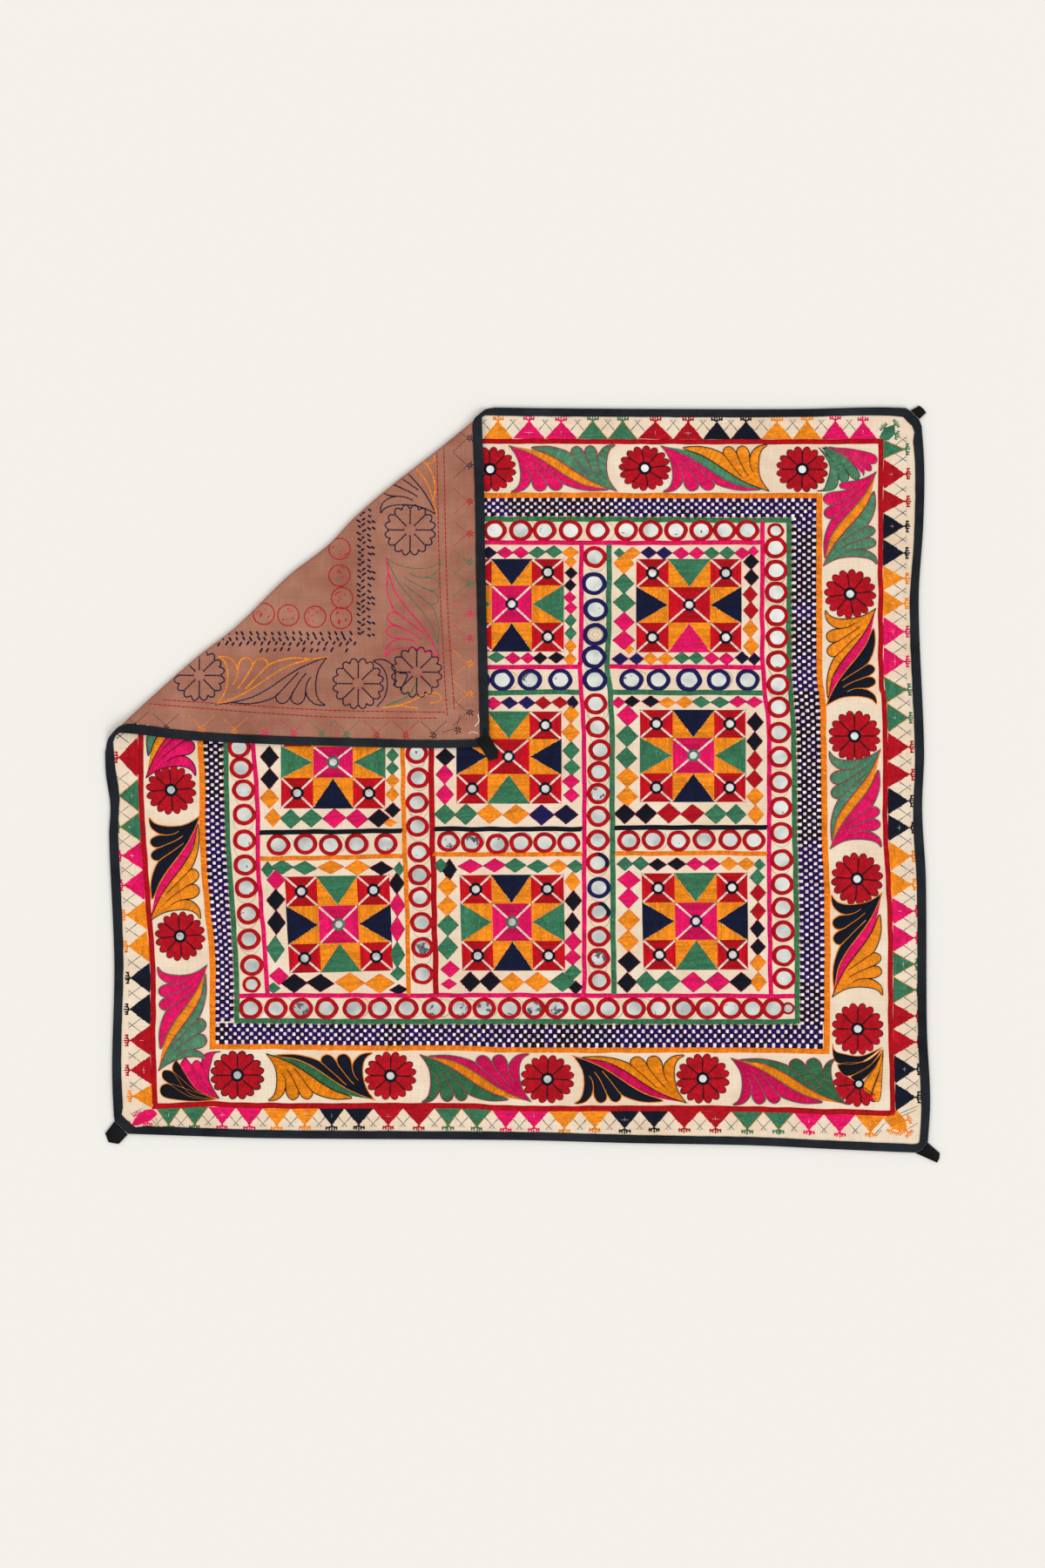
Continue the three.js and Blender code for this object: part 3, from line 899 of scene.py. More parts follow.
frameLines = {  # a colour, a width and the places that the line passes
    "redTop": ("L", 6.2, [(-75, 393.3), (60, 393), (230, 392.6), (414, 393)]),
    "redRight": ("L", 6.2, [
        (411.2, 395.5), (411.2, 140), (414.6, 100), (416.4, 50), (416.5, -50), (419.2, -100),
        (421.8, -150), (422.5, -200), (422.5, -280), (424.3, -340), (425.5, -379),
    ]),
    "redBottom": ("L", 7.0, [
        (-424.5, -370.2), (-360, -367.5), (-280, -369.3), (-80, -369.3), (0, -372.2), (200, -372.2),
        (300, -374), (340, -375.8), (428, -378),
    ]),
    "redLeft": ("L", 6.6, [
        (-438, 60), (-438, 0), (-436, -50), (-432.2, -100), (-429, -150), (-424.7, -200),
        (-424, -250), (-424, -300), (-422.5, -350), (-421.8, -369),
    ]),
    "orangeTop": ("J", 6.6, [(-72, 331), (60, 331.3), (200, 330.8), (343, 331)]),
    "orangeRight": ("J", 7.7, [
        (340.5, 333.8), (340.5, 140), (343.9, 100), (345.5, 50), (346.5, -50), (348.5, -100),
        (349.5, -150), (349.5, -260), (349.1, -309),
    ]),
    "orangeBottom": ("J", 6.6, [
        (-359, -301.5), (-300, -301.3), (-200, -302.8), (-70, -303), (0, -305.2), (250, -305.4),
        (352, -306.9),
    ]),
    "orangeLeft": ("J", 7.7, [
        (-369.4, 60), (-369.2, 40), (-367.2, 0), (-367.2, -50), (-365, -100), (-360.5, -150),
        (-355.6, -200), (-355.5, -250), (-356.2, -303),
    ]),
    "greenTop": ("H", 6.3, [(-66, 304.2), (100, 303.6), (230, 302.8), (308.5, 302.6)]),
    "greenRight": ("H", 6.3, [
        (306, 306), (306, 140), (308, 100), (311.5, 50), (312.4, -50), (314, -120), (315, -200),
        (315.2, -274.5),
    ]),
    "greenBottom": ("H", 6.3, [(-330, -271.3), (-200, -272.4), (0, -272.6), (200, -272.8), (316, -272.8)]),
    "greenLeft": ("H", 6.3, [
        (-340.8, 60), (-340.5, 30), (-338.7, -50), (-335.2, -110), (-331, -170), (-328.5, -220),
        (-327.8, -273),
    ]),
    "pinkTop": ("P", 5.6, [(-62, 277.2), (60, 276.8), (160, 276.6), (274, 277.4)]),
    "pinkRight": ("P", 5.6, [
        (275.6, 303), (275.2, 200), (275.6, 140), (278.9, 100), (282.8, 50), (283.2, -100), (284.4, -200),
        (285.5, -243),
    ]),
    "pinkBottom": ("P", 5.6, [(-327, -243), (-150, -242.6), (50, -242.4), (200, -243.2), (313, -243.4)]),
    "pinkLeft": ("P", 5.6, [
        (-309, 55), (-308.8, 40), (-304.5, -20), (-303, -100), (-297.2, -170), (-293.6, -225), (-292.6, -243),
    ]),
    "orangeMiddle": ("J", 5.6, [(-137.6, 55), (-137, 0), (-135.6, -65), (-132.2, -150), (-130.8, -220),
                                (-130.3, -242)]),
    "redMiddle": ("D", 6.9, [(-105.6, 55), (-105, 40), (-103.7, -50), (-101.8, -130), (-100.1, -200),
                             (-99.3, -242)]),
    "pinkMiddle": ("P", 5.6, [
        (67.6, 275), (67.1, 150), (65.4, 135), (68.8, 90), (70.9, 20), (70.9, -120), (70.9, -242),
    ]),
    "greenMiddle": ("H", 6.5, [
        (99.6, 275), (99.2, 200), (97.5, 135), (101.5, 92), (103, 20), (103.4, -80), (104.7, -220),
        (105.2, -242),
    ]),
    "pinkFirst": ("P", 5.6, [(-62, 134.2), (64, 134.2)]),
    "pinkFirstRight": ("P", 5.6, [(100, 134.4), (190, 134.2), (275, 133.8)]),
    "greenFirst": ("H", 6.3, [(-62, 105.2), (0, 104.8), (66, 105.6)]),
    "greenFirstRight": ("H", 6.3, [(101, 105.4), (190, 105), (277, 104.4)]),
    "navyLeft": ("K", 5.9, [(-302.5, -55.6), (-220, -54.8), (-138, -53.6)]),
    "navyMiddle": ("K", 5.9, [(-103.5, -51.6), (-10, -51.9), (68.5, -51.4)]),
    "navyRight": ("K", 5.9, [(105, -50.6), (190, -49.8), (281, -49.9)]),
    "orangeLowLeft": ("J", 5.5, [(-301.5, -85.4), (-220, -84.6), (-136, -82.6)]),
    "orangeLowMiddle": ("J", 5.5, [(-102.5, -80.8), (-20, -81), (69, -80.4)]),
    "orangeLowRight": ("J", 5.5, [(106, -79.7), (190, -79.5), (281, -79.9)]),
}
paths = {name: smoothLine(places) for name, (_, _, places) in frameLines.items()}
frames = {"height": 0.9, "slant": 2.6, "wander": 0.9, "wanderLength": 23.0}
frameStitching = Embroidery("frameLines")


def wandering(p):
    x, y = p / frames["wanderLength"]
    return p + Vector((noise.noise((x, y, 0.0)), noise.noise((x, y, 9.0)))) * frames["wander"]


for name, (colour, width, _) in frameLines.items():
    path = [wandering(p) for p in paths[name]]
    frameStitching.line(path, width, colour, frames["height"], frames["slant"])
    backPaths.append((colour, path))
framePiece = frameStitching.finish(onFace)
print("frame lines stitched")


def across(name, at, vertical=False):  # where a frame line is, at a place along it
    path = paths[name]
    a, b = (1, 0) if vertical else (0, 1)
    best = min(zip(path, path[1:]), key=lambda pair: abs(pair[0][a] + pair[1][a] - 2 * at))
    run = best[1][a] - best[0][a]
    share = 0.5 if abs(run) < 1e-6 else min(max((at - best[0][a]) / run, 0.0), 1.0)
    return best[0][b] + (best[1][b] - best[0][b]) * share


checks = {
    "level": 4.82,  # a cell's length on the sides that lie level
    "upright": 4.06,
    "margin": 3.4,  # from the middle of a frame line to the cells
    "navyHeight": 0.8,
    "creamHeight": 1.15,
    "pinkShare": 0.7,
    "edgeStep": 4.1,
}
checkBand = Embroidery("checkBand")


def cellPatch(centre, wide, high, colour, height):
    work, grid = gridOf(4, 4)
    shade, strand = checkBand.layers(work)
    places = (-1, -0.66, 0.66, 1)
    for i, line in enumerate(grid):
        for j, vert in enumerate(line):
            edge = i in (0, 3) or j in (0, 3)
            pull = 0.84 if i in (0, 3) and j in (0, 3) and colour == "S" else 1.0
            u, v = places[i] * pull, places[j] * pull
            vert.co = (centre[0] + u * wide / 2, centre[1] + v * high / 2, -0.1 if edge else height)
            if edge:
                vert.co.xy += Vector((dice.uniform(-0.25, 0.25), dice.uniform(-0.25, 0.25)))
    checkBand.colour(
        work, shade, strand, floss[colour], lambda face: int(face.calc_center_median().x * 1.4),
        lambda co, thread: (co.x, co.y),
    )
    if colour == "S" and dice.random() < checks["pinkShare"]:  # a pink thread beside a cream stitch
        side = dice.choice((-1, 1))
        for face in work.faces:
            if (face.calc_center_median().x - centre[0]) * side > wide * 0.3:
                for loop in face.loops:
                    loop[shade] = (*floss["T"], 1.0)
    checkBand.take(work)


def checkSide(outer, inner, first, last, vertical, rows, dark):
    length = checks["upright" if vertical else "level"]
    count = round((last - first) / length)
    for i in range(count):
        at = first + (last - first) * (i + 0.5) / count
        low, far = across(inner, at, vertical), across(outer, at, vertical)
        way = 1 if far > low else -1
        low += way * checks["margin"]
        far -= way * checks["margin"]
        for j in range(rows):
            side = low + (far - low) / rows * (j + 0.5)
            centre = (side, at) if vertical else (at, side)
            broad = abs(far - low) / rows
            wide, high = (broad, length) if vertical else (length, broad)
            if (i + j) % 2:
                navy = dice.choice("kkn" if noise.noise((at / 60, dark, 0.5)) < dark else "bbn")
                cellPatch(centre, wide * 1.4, high * 1.34, navy, checks["navyHeight"])
            else:
                centre = (centre[0] + dice.uniform(-0.45, 0.45), centre[1] + dice.uniform(-0.45, 0.45))
                size = dice.uniform(0.9, 1.08)
                wide, high = ((2.6 + side * 0.3) * size for side in (wide, high))
                cellPatch(centre, wide, high, "S", checks["creamHeight"])


checkSide("orangeTop", "greenTop", -60, 337, False, 5, -0.3)
checkSide("orangeRight", "greenRight", -276.5, 306, True, 5, 0.12)
checkSide("orangeBottom", "greenBottom", -352, 344, False, 5, -0.35)
checkSide("orangeLeft", "greenLeft", -272, 50, True, 4, -0.2)
for name, offset in (("greenRight", 3.3), ("greenLeft", -3.3), ("greenBottom", -3.4), ("greenTop", 3.4)):
    path = evenly(paths[name], max(2, round(lengthOf(paths[name]) / checks["edgeStep"])))
    vertical = name in ("greenRight", "greenLeft")
    for a, b in list(zip(path, path[1:]))[::2]:
        shift = Vector((offset, 0)) if vertical else Vector((0, offset))
        checkBand.thread([a + shift, b + shift], "Y", 1.3, 1.0)
checkPiece = checkBand.finish(onFace)
print("checked band stitched")

# corners: top left, top right, bottom left, bottom right
# cuts: how far along and how far down the middle cell starts and ends
blocks = [
    {"corners": [(-73, 258.1), (47.3, 258.1), (-73, 152), (47.3, 152)],
     "cuts": (0.313, 0.695, 0.287, 0.687), "centre": "P", "ring": "N", "sides": "NGNG"},
    {"corners": [(130.6, 258), (251.2, 258), (130.6, 151.2), (251.2, 151.2)],
     "cuts": (0.307, 0.703, 0.3, 0.683), "centre": "R", "ring": "N", "sides": "GNPN"},
    {"corners": [(-277.1, 78), (-157.6, 78), (-277.1, -28), (-157.6, -28)],
     "cuts": (0.31, 0.69, 0.33, 0.669), "centre": "P", "ring": "E", "sides": "NGNG"},
    {"corners": [(-75.7, 83.2), (44.6, 83.2), (-75.7, -22.4), (44.6, -22.4)],
     "cuts": (0.298, 0.695, 0.3, 0.68), "centre": "R", "ring": "N", "sides": "GNGN"},
    {"corners": [(134.9, 85), (256, 85), (134.9, -20.6), (256, -20.6)],
     "cuts": (0.31, 0.702, 0.303, 0.687), "centre": "P", "ring": "E", "sides": "NGNG"},
    {"corners": [(-273, -106.6), (-153, -104.6), (-267.3, -217), (-148.6, -214)],
     "cuts": (0.305, 0.688, 0.308, 0.7), "centre": "P", "ring": "E", "sides": "GNGN"},
    {"corners": [(-72.3, -104.6), (47, -104), (-69, -214), (49, -214)],
     "cuts": (0.305, 0.684, 0.298, 0.69), "centre": "P", "ring": "E", "sides": "NGNG"},
    {"corners": [(136.6, -102.6), (258, -101.8), (139, -213), (259, -213)],
     "cuts": (0.31, 0.708, 0.304, 0.692), "centre": "P", "ring": "N", "sides": "GNGN"},
]
stars = {"cross": 3.3, "crossHeight": 1.3, "crossSlant": 1.2, "ring": 7.7, "middleRing": 7.4}
starBlocks = Embroidery("starBlocks")
outlines = Embroidery("threadOutlines")
smallMirrors = []  # a centre, the ring's outer radius and its colour
upright = Vector((0, 1))
level = Vector((1, 0))


def crossSquare(a, b, c, d, bright, sheenShade):  # a square's corners in order round it, from the top left
    middle = (a + b + c + d) / 4
    # painted sheen: the quarters with level threads take the shaded copy of the colour, the upright ones the
    # lit copy
    quarters = (a, b, sheenShade, level), (b, c, bright, upright), (c, d, sheenShade, level), (d, a, bright, upright)
    for first, second, colour, way in quarters:
        starBlocks.satin([first, second, middle], way, colour)
    for corner in (a, b, c, d):
        arm = [corner.lerp(middle, 0.04), corner.lerp(middle, 0.86)]
        starBlocks.line(arm, stars["cross"], "W", stars["crossHeight"], stars["crossSlant"])
    return middle


def starBlock(corners, cuts, centre, ring, sides):
    topLeft, topRight, bottomLeft, bottomRight = (Vector(p) for p in corners)
    us = [0, cuts[0], cuts[1], 1]
    vs = [0, cuts[2], cuts[3], 1]

    def spot(i, j):
        return topLeft.lerp(topRight, us[i]).lerp(bottomLeft.lerp(bottomRight, us[i]), vs[j])

    def cell(i, j):
        return spot(i, j), spot(i + 1, j), spot(i + 1, j + 1), spot(i, j + 1)

    # painted sheen: C and D are the lit and the shaded copy of one red
    for i, j in ((0, 0), (2, 0), (0, 2), (2, 2)):
        smallMirrors.append((crossSquare(*cell(i, j), "C", "D"), stars["ring"], "U"))
    # the middle square's lit and shaded copies of its colour (painted sheen)
    bright, sheenShade = ("P", "M") if centre == "P" else ("C", "D")
    smallMirrors.append((crossSquare(*cell(1, 1), bright, sheenShade), stars["middleRing"], ring))
    arms = [  # the outer edge from left to right as seen from outside, then the inner edge
        (spot(1, 0), spot(2, 0), spot(2, 1), spot(1, 1), level),
        (spot(3, 1), spot(3, 2), spot(2, 2), spot(2, 1), upright),
        (spot(2, 3), spot(1, 3), spot(1, 2), spot(2, 2), level),
        (spot(0, 2), spot(0, 1), spot(1, 1), spot(1, 2), upright),
    ]
    for (a, b, c, d, way), colour in zip(arms, sides):
        tip = (c + d) / 2
        fold = (a + b) / 2
        starBlocks.satin([a, fold, tip], way, colour)
        starBlocks.satin([fold, b, tip], way, colour)
        starBlocks.satin([a, tip, d], way, "O")
        starBlocks.satin([b, c, tip], way, "O")
    edges = (topLeft, topRight), (topRight, bottomRight), (bottomRight, bottomLeft), (bottomLeft, topLeft)
    backPaths.extend(("R", list(edge)) for edge in edges)
    backPaths.append(("W", [topLeft, bottomRight]))
    backPaths.append(("W", [topRight, bottomLeft]))


for block in blocks:
    starBlock(**block)
blockPiece = starBlocks.finish(onFace)
print("star blocks stitched")

# each row of diamonds: the way it runs, its place across, half its width, its colours and its places along
diamondRows = [
    ("x", 266, 6.8, "NPPGGO", [-39, -20, -2, 17, 36, 55]),
    ("y", 55, 7.0, "OKKPPGGOO", [255, 242, 228, 214, 202, 187.5, 173, 158, 143]),
    ("x", 145, 6.6, "GPPKK", [-30, -11, 6, 20, 39]),
    ("x", 265.5, 7, "OBBPPGGP", [126, 145, 162.5, 182, 200, 217, 235, 252]),
    ("y", 262, 9, "KKRROO", [255, 237, 217.5, 199, 178, 158]),
    ("x", 144, 7, "BBOOGGPPNN", [112, 131, 147, 164, 183, 199.5, 217, 234, 252, 266]),
    ("y", 116.6, 12.3, "OGGPP", [253, 230, 208, 186, 165]),
    ("y", -290, 10.5, "KKO", [31, 6, -16.5]),
    ("x", -40, 10.8, "GGPPK", [-266, -242.4, -216, -190, -165]),
    ("y", -149, 7.5, "GGOO", [33, 18, 4, -12]),
    ("x", 93, 7, "PBBRR", [-34, -15, 5, 23.6, 43]),
    ("y", 56, 9.7, "OOGGPP", [80, 59, 38.4, 19, 3, -13]),
    ("x", -35, 11.5, "GGOOBN", [-89, -65, -38, -7.5, 22, 50]),
    ("y", -89, 10.7, "KPP", [31, 11, -12]),
    ("x", 94, 6.4, "PKKOOGGPP", [110, 125.5, 147, 166, 186, 205, 226.6, 247, 266]),
    ("y", 267, 9.4, "KKRROO", [71, 49, 27, 5.5, -14, -35]),
    ("x", -34, 11.5, "KKRRGG", [117.5, 141.6, 168, 195, 222, 245]),
    ("y", 120, 12.3, "PGGOO", [78.5, 55, 30, 7.5, -14.6]),
    ("x", -96, 8.3, "GGOOK", [-276, -250, -220, -189.5, -162]),
    ("y", -144, 9, "KPPG", [-114, -139, -166.5, -196]),
    ("x", -228, 11, "KKOO", [-262, -232, -198, -164]),
    ("y", -283, 11, "PKKG", [-110, -133, -159, -189.5]),
    ("x", -94, 7.8, "PPGGOG", [-60, -32, -8.5, 17.5, 41, 61]),
    ("y", 58, 9.4, "OKKPPG", [-112, -134, -159, -181, -199, -216]),
    ("x", -227, 11.5, "KKOOG", [-60, -37, -12, 17, 46]),
    ("y", -86, 11.7, "OOGG", [-117.5, -140, -162, -188]),
    ("x", -92, 7.6, "GGKKPPOO", [117.5, 135.5, 155, 177, 198, 217, 237, 257]),
    ("y", 270, 9, "GRRKKOO", [-107, -125, -146, -166, -187, -205, -227]),
    ("x", -227, 11.5, "KGGPPK", [120, 142, 167, 196, 224, 251]),
    ("y", 122, 12.6, "PPOOK", [-110, -131, -156, -180, -204]),
]
# odd ones at the corners: colour, centre, half width, half height
cornerDiamonds = [
    ("G", 111, 265, 6, 5.5), ("P", 265, 267, 6, 6), ("O", 122.5, 154.5, 5, 5),
    ("O", -286.4, -38.5, 9.5, 10.5), ("K", -149, -30, 9, 8.5), ("O", -152, -44.5, 7.5, 4.5),
    ("N", 57.5, 93.5, 7, 8), ("G", -141.5, -97.5, 6, 8), ("G", -143, -217.5, 8.5, 8),
    ("G", -94, -93.5, 8.5, 8), ("K", -84, -98.5, 8.5, 13), ("P", -83, -212.5, 11, 9.5),
    ("P", -84.5, -229.5, 9, 6), ("K", 61, -233.5, 8, 8), ("G", 272, -92.5, 6.5, 6.5),
    ("P", -279.5, -220.5, 11, 10), ("K", -142, -236, 11, 6), ("G", -292.5, -98, 7, 9),
    ("G", -286, -234, 8, 6),
]
diamonds = {"height": 0.7, "edgeHeight": 0.8, "edgeWidth": 0.75}
diamondPatches = Embroidery("diamonds")
contrast = {"P": "K", "O": "P", "N": "P", "B": "P", "K": "P", "G": "K", "R": "G"}  # their outlines


def diamond(x, y, wide, tall, colour):
    lean = dice.uniform(-0.06, 0.06)
    points = [(x - wide, y + wide * lean), (x, y + tall), (x + wide, y - wide * lean), (x, y - tall)]
    shape = [Vector(p) for p in points]
    diamondPatches.satin(shape, (1, 0.12), colour, diamonds["height"])
    for a, b in zip(shape, shape[1:] + shape[:1]):
        outlines.thread([a, b], contrast[colour], diamonds["edgeWidth"], diamonds["edgeHeight"], 12)
    backPaths.append((colour, shape + shape[:1]))


for way, place, wide, colours, spots in diamondRows:
    for k, (colour, at) in enumerate(zip(colours, spots)):
        gaps = [abs(spots[n] - spots[n - 1]) for n in (k, k + 1) if 0 < n < len(spots)]
        reach = sum(gaps) / len(gaps) / 2 + 0.3
        drift = dice.uniform(-0.8, 0.8)
        size = wide * dice.uniform(0.93, 1.05)
        if way == "x":
            diamond(at, place + drift, reach, size, colour)
        else:
            diamond(place + drift, at, size, reach, colour)
for colour, x, y, wide, tall in cornerDiamonds:
    diamond(x, y, wide, tall, colour)
diamondPiece = diamondPatches.finish(onFace)
print("diamonds stitched")

# flowers: centre, half width, half height
flowers = [
    (-37, 361, 30, 26), (140.4, 362.3, 30, 26), (321, 361, 30, 26.5), (376, 218, 30, 28.5),
    (381, 55, 30, 29.5), (384, -109, 30, 30.5), (384.7, -281, 30, 30), (386, -344, 30, 26.5),
    (207, -338, 31, 29), (28.7, -338.6, 31, 28), (-151.5, -334.8, 30, 28), (-327.2, -334, 31, 28),
    (-393, -174.7, 29, 28.5), (-403.3, -6.8, 29, 28.5),
]
darkEdged = (-327.2, -334)
overlapped = (386, -344)  # two leaves cover half of this flower
petals = {
    "count": 8,
    "inner": 6.2,
    "gap": 0.25,
    "rows": 19,
    "notch": 0.17,  # how deep the middle of the end is cut in
    "corner": 0.19,  # how much its corners are rounded off
    "ring": 7.7,
    "smallRing": 6.3,
}
petalShares = (0, 0.05, 0.14, 0.26, 0.38, 0.46, 0.5, 0.54, 0.62, 0.74, 0.86, 0.95, 1)
flowerStitching = Embroidery("flowers")


def petalSpot(centre, wide, tall, turn, out, share):  # a place on a heart-shaped petal
    v = share * 2 - 1
    lobe = 1 - petals["notch"] * max(0.0, 1 - abs(v) / 0.42) ** 1.6
    lobe -= petals["corner"] * max(0.0, (abs(v) - 0.45) / 0.55) ** 2.2
    start = petals["inner"] / wide
    reach = start + (lobe - start) * out
    angle = turn + v * (math.pi / petals["count"] - petals["gap"] / wide / max(reach, 0.2))
    return Vector((centre[0] + wide * reach * math.cos(angle), centre[1] + tall * reach * math.sin(angle)))


def petal(centre, wide, tall, turn):
    work, grid = gridOf(petals["rows"], len(petalShares))
    shade, strand = flowerStitching.layers(work)
    last = petals["rows"] - 1
    for i, line in enumerate(grid):
        for share, vert in zip(petalShares, line):
            edge = i in (0, last) or share in (0, 1)
            ridge = 1.0 if i % 2 else stitch["groove"]
            crease = 0.75 if share == 0.5 else 1.0
            spot = petalSpot(centre, wide, tall, turn, i / last, share)
            vert.co = (spot.x, spot.y, stitch["sunk"] if edge else stitch["height"] * ridge * crease)
    threads = threadsOf(work, grid)
    middle = Vector(centre)
    flowerStitching.colour(
        work, shade, strand, floss["R"], lambda face: threads[face],
        lambda co, thread: (math.atan2(co.y - centre[1], co.x - centre[0]) * 14, (co.xy - middle).length),
    )
    flowerStitching.take(work)


def petalEdges(centre, wide, tall, turn):  # the line beside the next petal, and the scalloped end
    spread = math.pi / petals["count"]
    side = [petalSpot(centre, wide, tall, turn + spread, out, 0.5) for out in (0, 0.5)]
    side.append(petalSpot(centre, wide, tall, turn, 0.98, 1))
    scallop = [petalSpot(centre, wide, tall, turn, 1, share) for share in petalShares]
    return side, scallop


for x, y, wide, tall in flowers:
    turned = dice.uniform(-0.1, 0.1) + (0 if tall > wide * 0.95 else 0.06)
    for k in range(petals["count"]):
        turn = turned + 2 * math.pi * (k + 0.5) / petals["count"]
        if (x, y) == overlapped and k not in (3, 4, 5, 6):
            continue
        petal((x, y), wide, tall, turn)
        side, scallop = petalEdges((x, y), wide, tall, turn)
        edge, broad = ("K", 1.7) if (x, y) == darkEdged else ("Z", 1.1)
        outlines.thread(side, "K", 1.8, 1.2, 4)
        outlines.thread(scallop, edge, broad, 0.85, None)
        backPaths.append(("N", side))
        backPaths.append(("N", scallop))
    smallMirrors.append((Vector((x, y)), petals["smallRing" if (x, y) == overlapped else "ring"], "U"))
flowerPiece = flowerStitching.finish(onFace)
print("flowers stitched")

# one spray, 128 by 52 mm, its rib running from the top left to the bottom right
ribEdge = [(-64, 25.5), (-53, 23.4), (-40, 21.4), (-30, 19.2), (-20, 16), (-10, 11.3), (0, 5.6),
           (10, -1), (20, -7.2), (30, -13), (40, -17.7), (50, -21.6), (63, -25.5)]
spray = {
    "rib": (ribEdge, [(-x, -y) for x, y in reversed(ribEdge)]),
    "shown": [(0, 3), (6, 3), (6, 3), (6, 0)],  # where the outline of each leaf starts
    "lean": 8,  # how far the leaves of a half lean towards one end
    "leansBackFrom": 6,  # the sprays at the bottom and on the left lean the other way
    "root": 62,
    "length": 107,
    "lobes": [  # from the root at the bottom right to each tip: the near side and the far side
        ([(62, -25), (50, -21.2), (40, -17.2), (30, -12.7), (20, -6.9), (10, -0.6), (0, 6), (-10, 11.8),
          (-20, 16.5), (-30, 19.7), (-45, 23)],
         [(62, -25), (48, -19.6), (38, -14.6), (30, -9), (20.7, 0.4), (12.5, 8.6), (5.7, 15.4),
          (0.6, 18.4), (-8, 21.4), (-17, 23.4), (-28, 24.4), (-45, 23)]),
        ([(62, -25), (48, -20), (38, -15), (30, -9.4), (20.7, 0), (12.5, 8.2), (6.4, 13.6), (4.6, 18),
          (6.4, 22), (11.4, 24.3)],
         [(62, -25), (50, -17.5), (43.6, -12.6), (38.6, -8), (33.4, -2.2), (28.7, 4.6), (24, 12),
          (20.2, 18.6), (16.4, 22.6), (11.4, 24.3)]),
        ([(62, -25), (50, -18), (43.4, -13), (38.2, -8.4), (33, -2.6), (28.3, 4.2), (23.8, 11.4),
          (21.8, 17), (22.8, 22), (28.4, 25)],
         [(62, -25), (53, -15), (47.6, -8.8), (43.8, -3.8), (40.3, 1), (38.4, 7), (37.9, 13), (37, 18.4),
          (33.6, 23.2), (28.4, 25)]),
        ([(62, -25), (52.6, -15.4), (47.2, -9.2), (43.3, -4.2), (39.8, 0.8), (38.2, 7), (38.6, 12),
          (40, 17), (46, 23.2), (52.6, 25.6), (60.5, 25.8)],
         [(62, -25), (56.4, -18), (52.8, -12), (50.5, -5), (49.4, 4), (49.8, 11.6), (51.4, 17.6),
          (54.8, 22.4), (60.5, 25.8)]),
    ],
}
cutWing = ([(62, -25), (52.6, -15.4), (47.2, -9.2), (43.3, -4.2), (39.8, 0.8), (38.2, 7), (38.6, 12),
            (40.6, 17), (45, 22), (51, 24.4)],
           [(62, -25), (56.2, -18), (52.2, -12), (49, -5), (47, 3), (46.4, 9), (46.6, 15), (48, 20),
            (51, 24.4)])
shortWing = ([(62, -25), (52.6, -15.4), (47.2, -9.2), (43.3, -4.2), (40.6, 0), (40, 4), (41.4, 8),
              (46, 10.2)],
             [(62, -25), (56.4, -18), (52.8, -12), (50.6, -5), (49.6, 1), (49, 6), (46, 10.2)])
shortened = {(2, -1): shortWing, (9, 1): cutWing, (12, 1): cutWing}  # beside the corner leaves
# centre, turn in degrees, length and height against the spray's own,
# the colours of one half, the rib and the other half, and the colours of the outlines
sprays = [
    ((46.5, 362), 0, 1.0, 1.05, "POG", "EX"),
    ((221, 362), 0, 1.0, 1.04, "PGO", "EK"),
    ((375.5, 304), -90, 0.87, 1.22, "POG", "EX"),
    ((377, 145.5), -90, 0.9, 1.14, "OPN", "KO"),
    ((382, -17.5), -90, 0.92, 1.16, "GOP", "XE"),
    ((384, -185), -90, 0.96, 1.14, "NPO", "OK"),
    ((-232, -336), 0, 1.0, 1.06, "QIN", "KO"),
    ((-54, -337.5), 0, 1.03, 1.08, "IQM", "XE"),
    ((123, -339), 0, 1.05, 1.08, "NMQ", "OK"),
    ((305.5, -341), 0, 1.07, 1.06, "MQI", "EX"),
    ((-404, 69), -90, 1.0, 1.12, "GOP", "KK"),
    ((-399, -97), -90, 0.97, 1.14, "NPO", "OK"),
    ((-390, -268.5), -90, 0.98, 1.12, "POG", "EX"),
]
leaves = Embroidery("leafSprays")


def leafBand(near, far, colour, place, edge, shown=(0, 0), width=1.4):
    first, second = (smoothLine([place(p) for p in side], 2.0) for side in (near, far))
    count = 2 * round(max(lengthOf(first), lengthOf(second)) / stitch["pitch"]) + 1
    tone = {"G": "F", "N": "V"}.get(colour, colour)
    leaves.band(evenly(first, count), evenly(second, count), tone, 0.8, (0, 0.07, 0.5, 0.93, 1))
    if edge:
        ends = [place(p) for p in near[shown[0]:]] + [place(p) for p in far[shown[1]:-1]][::-1]
        outlines.thread(smoothLine(ends, 2.0), edge, width, 1.35, 3.0)
    backPaths.append((colour if colour != "N" else "K", first + second[::-1]))


def placer(centre, turn, long, tall, flip=1):  # moves a place on the spray to where it is stitched
    swing = Matrix.Rotation(math.radians(turn), 2)

    def place(p):
        return Vector(centre) + swing @ Vector((p[0] * long * flip, p[1] * tall * flip))

    return place


def leaning(p, lean):  # the lean grows from the root to the tip, and from the rib outwards
    share = (spray["root"] - p[0]) / spray["length"] * min(max((p[1] + 8) / 20, 0), 1)
    return p[0] + lean * share, p[1]


for number, (centre, turn, long, tall, colours, edges) in enumerate(sprays):
    for flip, colour, edge in ((-1, colours[0], edges[0]), (1, colours[2], edges[1])):
        place = placer(centre, turn, long, tall, flip)
        lean = spray["lean"] * flip * (1 if number < spray["leansBackFrom"] else -1)
        for lobe, (near, far) in enumerate(spray["lobes"]):
            if lobe == 3:
                near, far = shortened.get((number, flip), (near, far))
            far = [leaning(p, lean) for p in far]
            near = [leaning(p, lean) for p in near] if lobe else near[:-1] + far[-1:]
            leafBand(near, far, colour, place, edge, spray["shown"][lobe])
    leafBand(*spray["rib"], colours[1], placer(centre, turn, long, tall), None)
